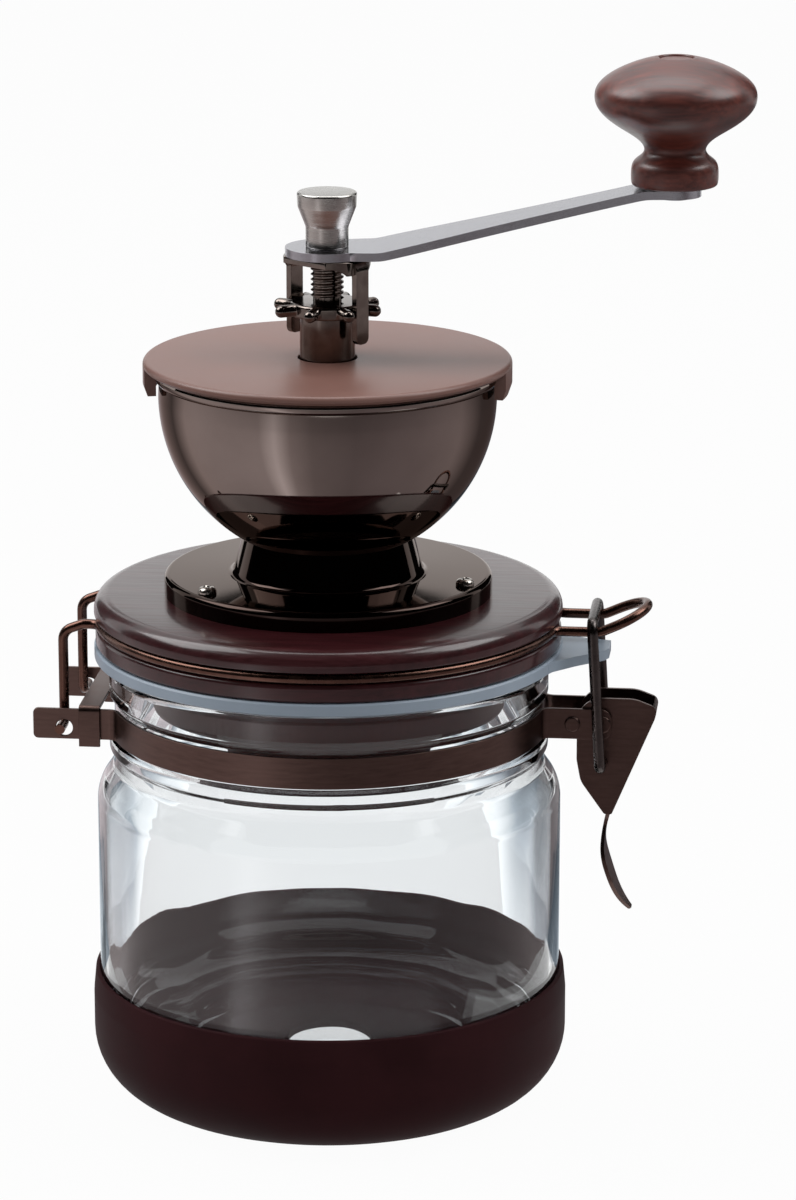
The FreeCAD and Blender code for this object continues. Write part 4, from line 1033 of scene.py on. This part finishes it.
# %% world
AMBIENT = 0.55
world = bpy.data.worlds.new("white_studio")
bpy.context.scene.world = world
world.use_nodes = True
tree = world.node_tree
tree.nodes.clear()
level = add(tree, "ShaderNodeMapRange", None, {"To Min": AMBIENT, "To Max": 1.0},
            {"Value": white_share(tree, 1.0)})
sky = add(tree, "ShaderNodeBackground", None, {"Color": (1, 1, 1, 1)}, {"Strength": level.outputs["Result"]})
add(tree, "ShaderNodeOutputWorld", None, None, {"Surface": sky.outputs["Background"]})
print("world lights at", AMBIENT, "and shows white")

# %% [markdown]
# ## Cloth and cards
# In an all white room, polished metal and glass would have no edges: they show their form only when they
# have something dark to mirror. A photographer hangs black cloth and lays grey cards outside the picture,
# and so does this lesson. Cloth hangs behind the camera, at the sides, high behind and overhead. Graded
# cards lie on the table for the bowl to mirror. Beside the jar lie strips that fade from white to grey, and
# the glass bends them into its dark edges. The camera sees past all of these, and they cast no shadow.

# %% finishes of cloth and cards
CAMERA_AZIMUTH = -83.0
RIGHTWARDS = CAMERA_AZIMUTH + 90
NO_SHINE = {"Roughness": 1.0, "Specular IOR Level": 0.0}
# Black cotton cloth: takes in light, so it shows as black in metal.
black_cloth = start_finish("black_studio_cloth", {"Base Color": colour("#1c1a1a"), **NO_SHINE})[0]


def graded_card(name, stops):
    """Card whose shade changes with the direction from the grinder; the camera's direction is 0.5."""
    finish, tree, shader, where = start_finish(name, NO_SHINE)
    aimed = add(tree, "ShaderNodeMapping", None, {"Rotation": (0, 0, math.radians(-CAMERA_AZIMUTH))},
                {"Vector": where})
    around = add(tree, "ShaderNodeTexGradient", {"gradient_type": "RADIAL"}, None,
                 {"Vector": aimed.outputs["Vector"]})
    tree.links.new(shade_between(tree, around.outputs["Fac"], stops), shader.inputs["Base Color"])
    return finish


def fading_card(name, from_x, to_x, stops):
    """Card whose shade changes across it, between two distances to the right of the grinder."""
    finish, tree, shader, where = start_finish(name, NO_SHINE)
    size = 1.0 / (to_x - from_x)
    across = add(tree, "ShaderNodeMapping", None,
                 {"Scale": (size, size, size), "Rotation": (0, 0, math.radians(-RIGHTWARDS)),
                  "Location": (-from_x * size, 0, 0)}, {"Vector": where})
    fade = add(tree, "ShaderNodeTexGradient", None, None, {"Vector": across.outputs["Vector"]})
    tree.links.new(shade_between(tree, fade.outputs["Fac"], stops), shader.inputs["Base Color"])
    return finish


# Matte grey card: one light band left of the camera's direction gives the bowl its soft streak.
far_card = graded_card("graded_studio_card", [
    (0.06, "#b5acaf"), (0.14, "#635e5f"), (0.19, "#b8aeae"), (0.31, "#aea4a4"), (0.37, "#b2a8a8"),
    (0.40, "#e7dfe0"), (0.43, "#a89e9e"), (0.47, "#867d7d"), (0.55, "#776e6f"), (0.67, "#877d7e"),
    (0.78, "#978d8d"), (0.85, "#5b5556"), (0.94, "#615b5d")])
print("card and cloth", far_card.name, black_cloth.name)

# %% sheets of cloth and card
CLOTH_FOLDS = 12


def mirrored_only(sheet):
    """Leaves a sheet to be seen in metal and glass alone: it casts no shadow and the camera sees past it."""
    sheet.visible_camera = False
    sheet.visible_diffuse = False
    sheet.visible_shadow = False


def hanging_cloth(name, from_deg, to_deg, distance, bottom, top):
    """Upright cloth on an arc round the grinder, between two angles from the camera's direction."""
    bm = bmesh.new()
    start = Matrix.Rotation(math.radians(CAMERA_AZIMUTH + from_deg), 3, "Z") @ Vector((distance, 0, 0))
    ends = [bm.verts.new(start + Vector((0, 0, height))) for height in (bottom, top)]
    edge = bm.edges.new(ends)
    bmesh.ops.spin(bm, geom=ends + [edge], cent=(0, 0, 0), axis=(0, 0, 1),
                   angle=math.radians(to_deg - from_deg), steps=CLOTH_FOLDS)
    sheet = stage_sheet(name, bm, black_cloth)
    mirrored_only(sheet)
    return sheet


def flat_sheet(name, low, high, height, finish):
    """Level sheet between two corners, given rightwards and away from the camera."""
    bm = bmesh.new()
    corners = [(low[0], low[1]), (high[0], low[1]), (high[0], high[1]), (low[0], high[1])]
    bm.faces.new([bm.verts.new((x, y, height)) for x, y in corners])
    turn_about_z(bm, RIGHTWARDS)
    mirrored_only(stage_sheet(name, bm, finish))


print("cloth hangs in", CLOTH_FOLDS, "flat parts")

# %% set out the cloth and the cards
CLOTH_TOP = 1.6
CLOTH_DISTANCE = 1.9
CARD_REACH = 1.3
CARD_NEAR_Y = -0.066
CARD_FAR_Y = 0.9
CARD_HEIGHT = 0.001
LEFT_CARD_X = -0.115
RIGHT_CARD_X = 0.130
STRIP_NEAR_Y = 0.07
LEFT_STRIP_X = -0.058
RIGHT_STRIP_X = 0.052
# Rays that have passed through the glass don't see the front cloth, so the rear of the jar mirrors white.
cloth_front = hanging_cloth("cloth_front", -62, 62, CLOTH_DISTANCE, 0.0, CLOTH_TOP)
cloth_front.visible_transmission = False
# Each further cloth has its two angles from the camera's direction, its distance, its bottom and its top.
for name, from_deg, to_deg, distance, bottom, top in (
    ("cloth_left", -118, -62, CLOTH_DISTANCE, 0.0, CLOTH_TOP),
    ("cloth_right", 62, 118, CLOTH_DISTANCE, 0.0, CLOTH_TOP),
    ("cloth_rear_left", 202, 224, 1.6, 0.0, 1.2),
    ("cloth_rear_right", 130, 159, 1.6, 0.0, 1.2),
    ("cloth_rear_high", 165, 195, 5.0, 1.76, 2.2),
):
    hanging_cloth(name, from_deg, to_deg, distance, bottom, top)
flat_sheet("cloth_ceiling", (-1.4, -1.9), (1.4, 0.4), CLOTH_TOP, black_cloth)
flat_sheet("card_front", (-CARD_REACH, -CARD_REACH), (CARD_REACH, CARD_NEAR_Y), CARD_HEIGHT, far_card)
flat_sheet("card_left", (-CARD_REACH, CARD_NEAR_Y), (LEFT_CARD_X, CARD_FAR_Y), CARD_HEIGHT, far_card)
flat_sheet("card_right", (RIGHT_CARD_X, CARD_NEAR_Y), (CARD_REACH, CARD_FAR_Y), CARD_HEIGHT, far_card)
# Matte card that fades from white to a cool grey: the glass bends it into a soft grey edge.
left_fade = fading_card("fading_card_left", LEFT_STRIP_X, LEFT_CARD_X, [
    (0.0, "#f6f8f9"), (0.35, "#aeb6bd"), (1.0, "#565e66")])
flat_sheet("strip_left", (LEFT_CARD_X, STRIP_NEAR_Y), (LEFT_STRIP_X, CARD_FAR_Y), CARD_HEIGHT, left_fade)
# The same on the right, where it fades further, to a darker edge.
right_fade = fading_card("fading_card_right", RIGHT_STRIP_X, RIGHT_CARD_X, [
    (0.0, "#f6f8f9"), (0.25, "#a6aeb5"), (0.5, "#596169"), (1.0, "#282e35")])
flat_sheet("strip_right", (RIGHT_STRIP_X, STRIP_NEAR_Y), (RIGHT_CARD_X, CARD_FAR_Y), CARD_HEIGHT, right_fade)

# %% [markdown]
# ## Lamps
# Three large soft lamps stand to the left, to the right and above. Small lamps would light as much, but
# would leave hard spots on plating and lacquer. Even the large ones would show as bright patches in the
# jar, so the jar is left out of what they light, and shows only what it mirrors and bends.

# %% lamps
LAMP_AIM = Vector((0, 0, 0.15))
not_lit = bpy.data.collections.new("not_lit_by_softboxes")
not_lit.objects.link(jar_piece)
not_lit.collection_objects[0].light_linking.link_state = "EXCLUDE"


def softbox(name, place, width, height, watts):
    """Large soft lamp that faces the grinder."""
    lamp = bpy.data.lights.new(name, "AREA")
    lamp.shape = "RECTANGLE"
    lamp.size = width
    lamp.size_y = height
    lamp.energy = watts
    holder = bpy.data.objects.new(name, lamp)
    holder.location = place
    holder.rotation_euler = (LAMP_AIM - Vector(place)).to_track_quat("-Z", "Y").to_euler()
    holder.light_linking.receiver_collection = not_lit
    bpy.context.scene.collection.objects.link(holder)


softbox("softbox_left", (-0.9, 0.05, 1.2), width=0.9, height=0.9, watts=12.0)
softbox("softbox_right", (0.95, 0.1, 1.2), width=0.8, height=0.8, watts=9.0)
softbox("softbox_top", (0.0, 0.3, 1.4), width=0.9, height=0.6, watts=6.0)
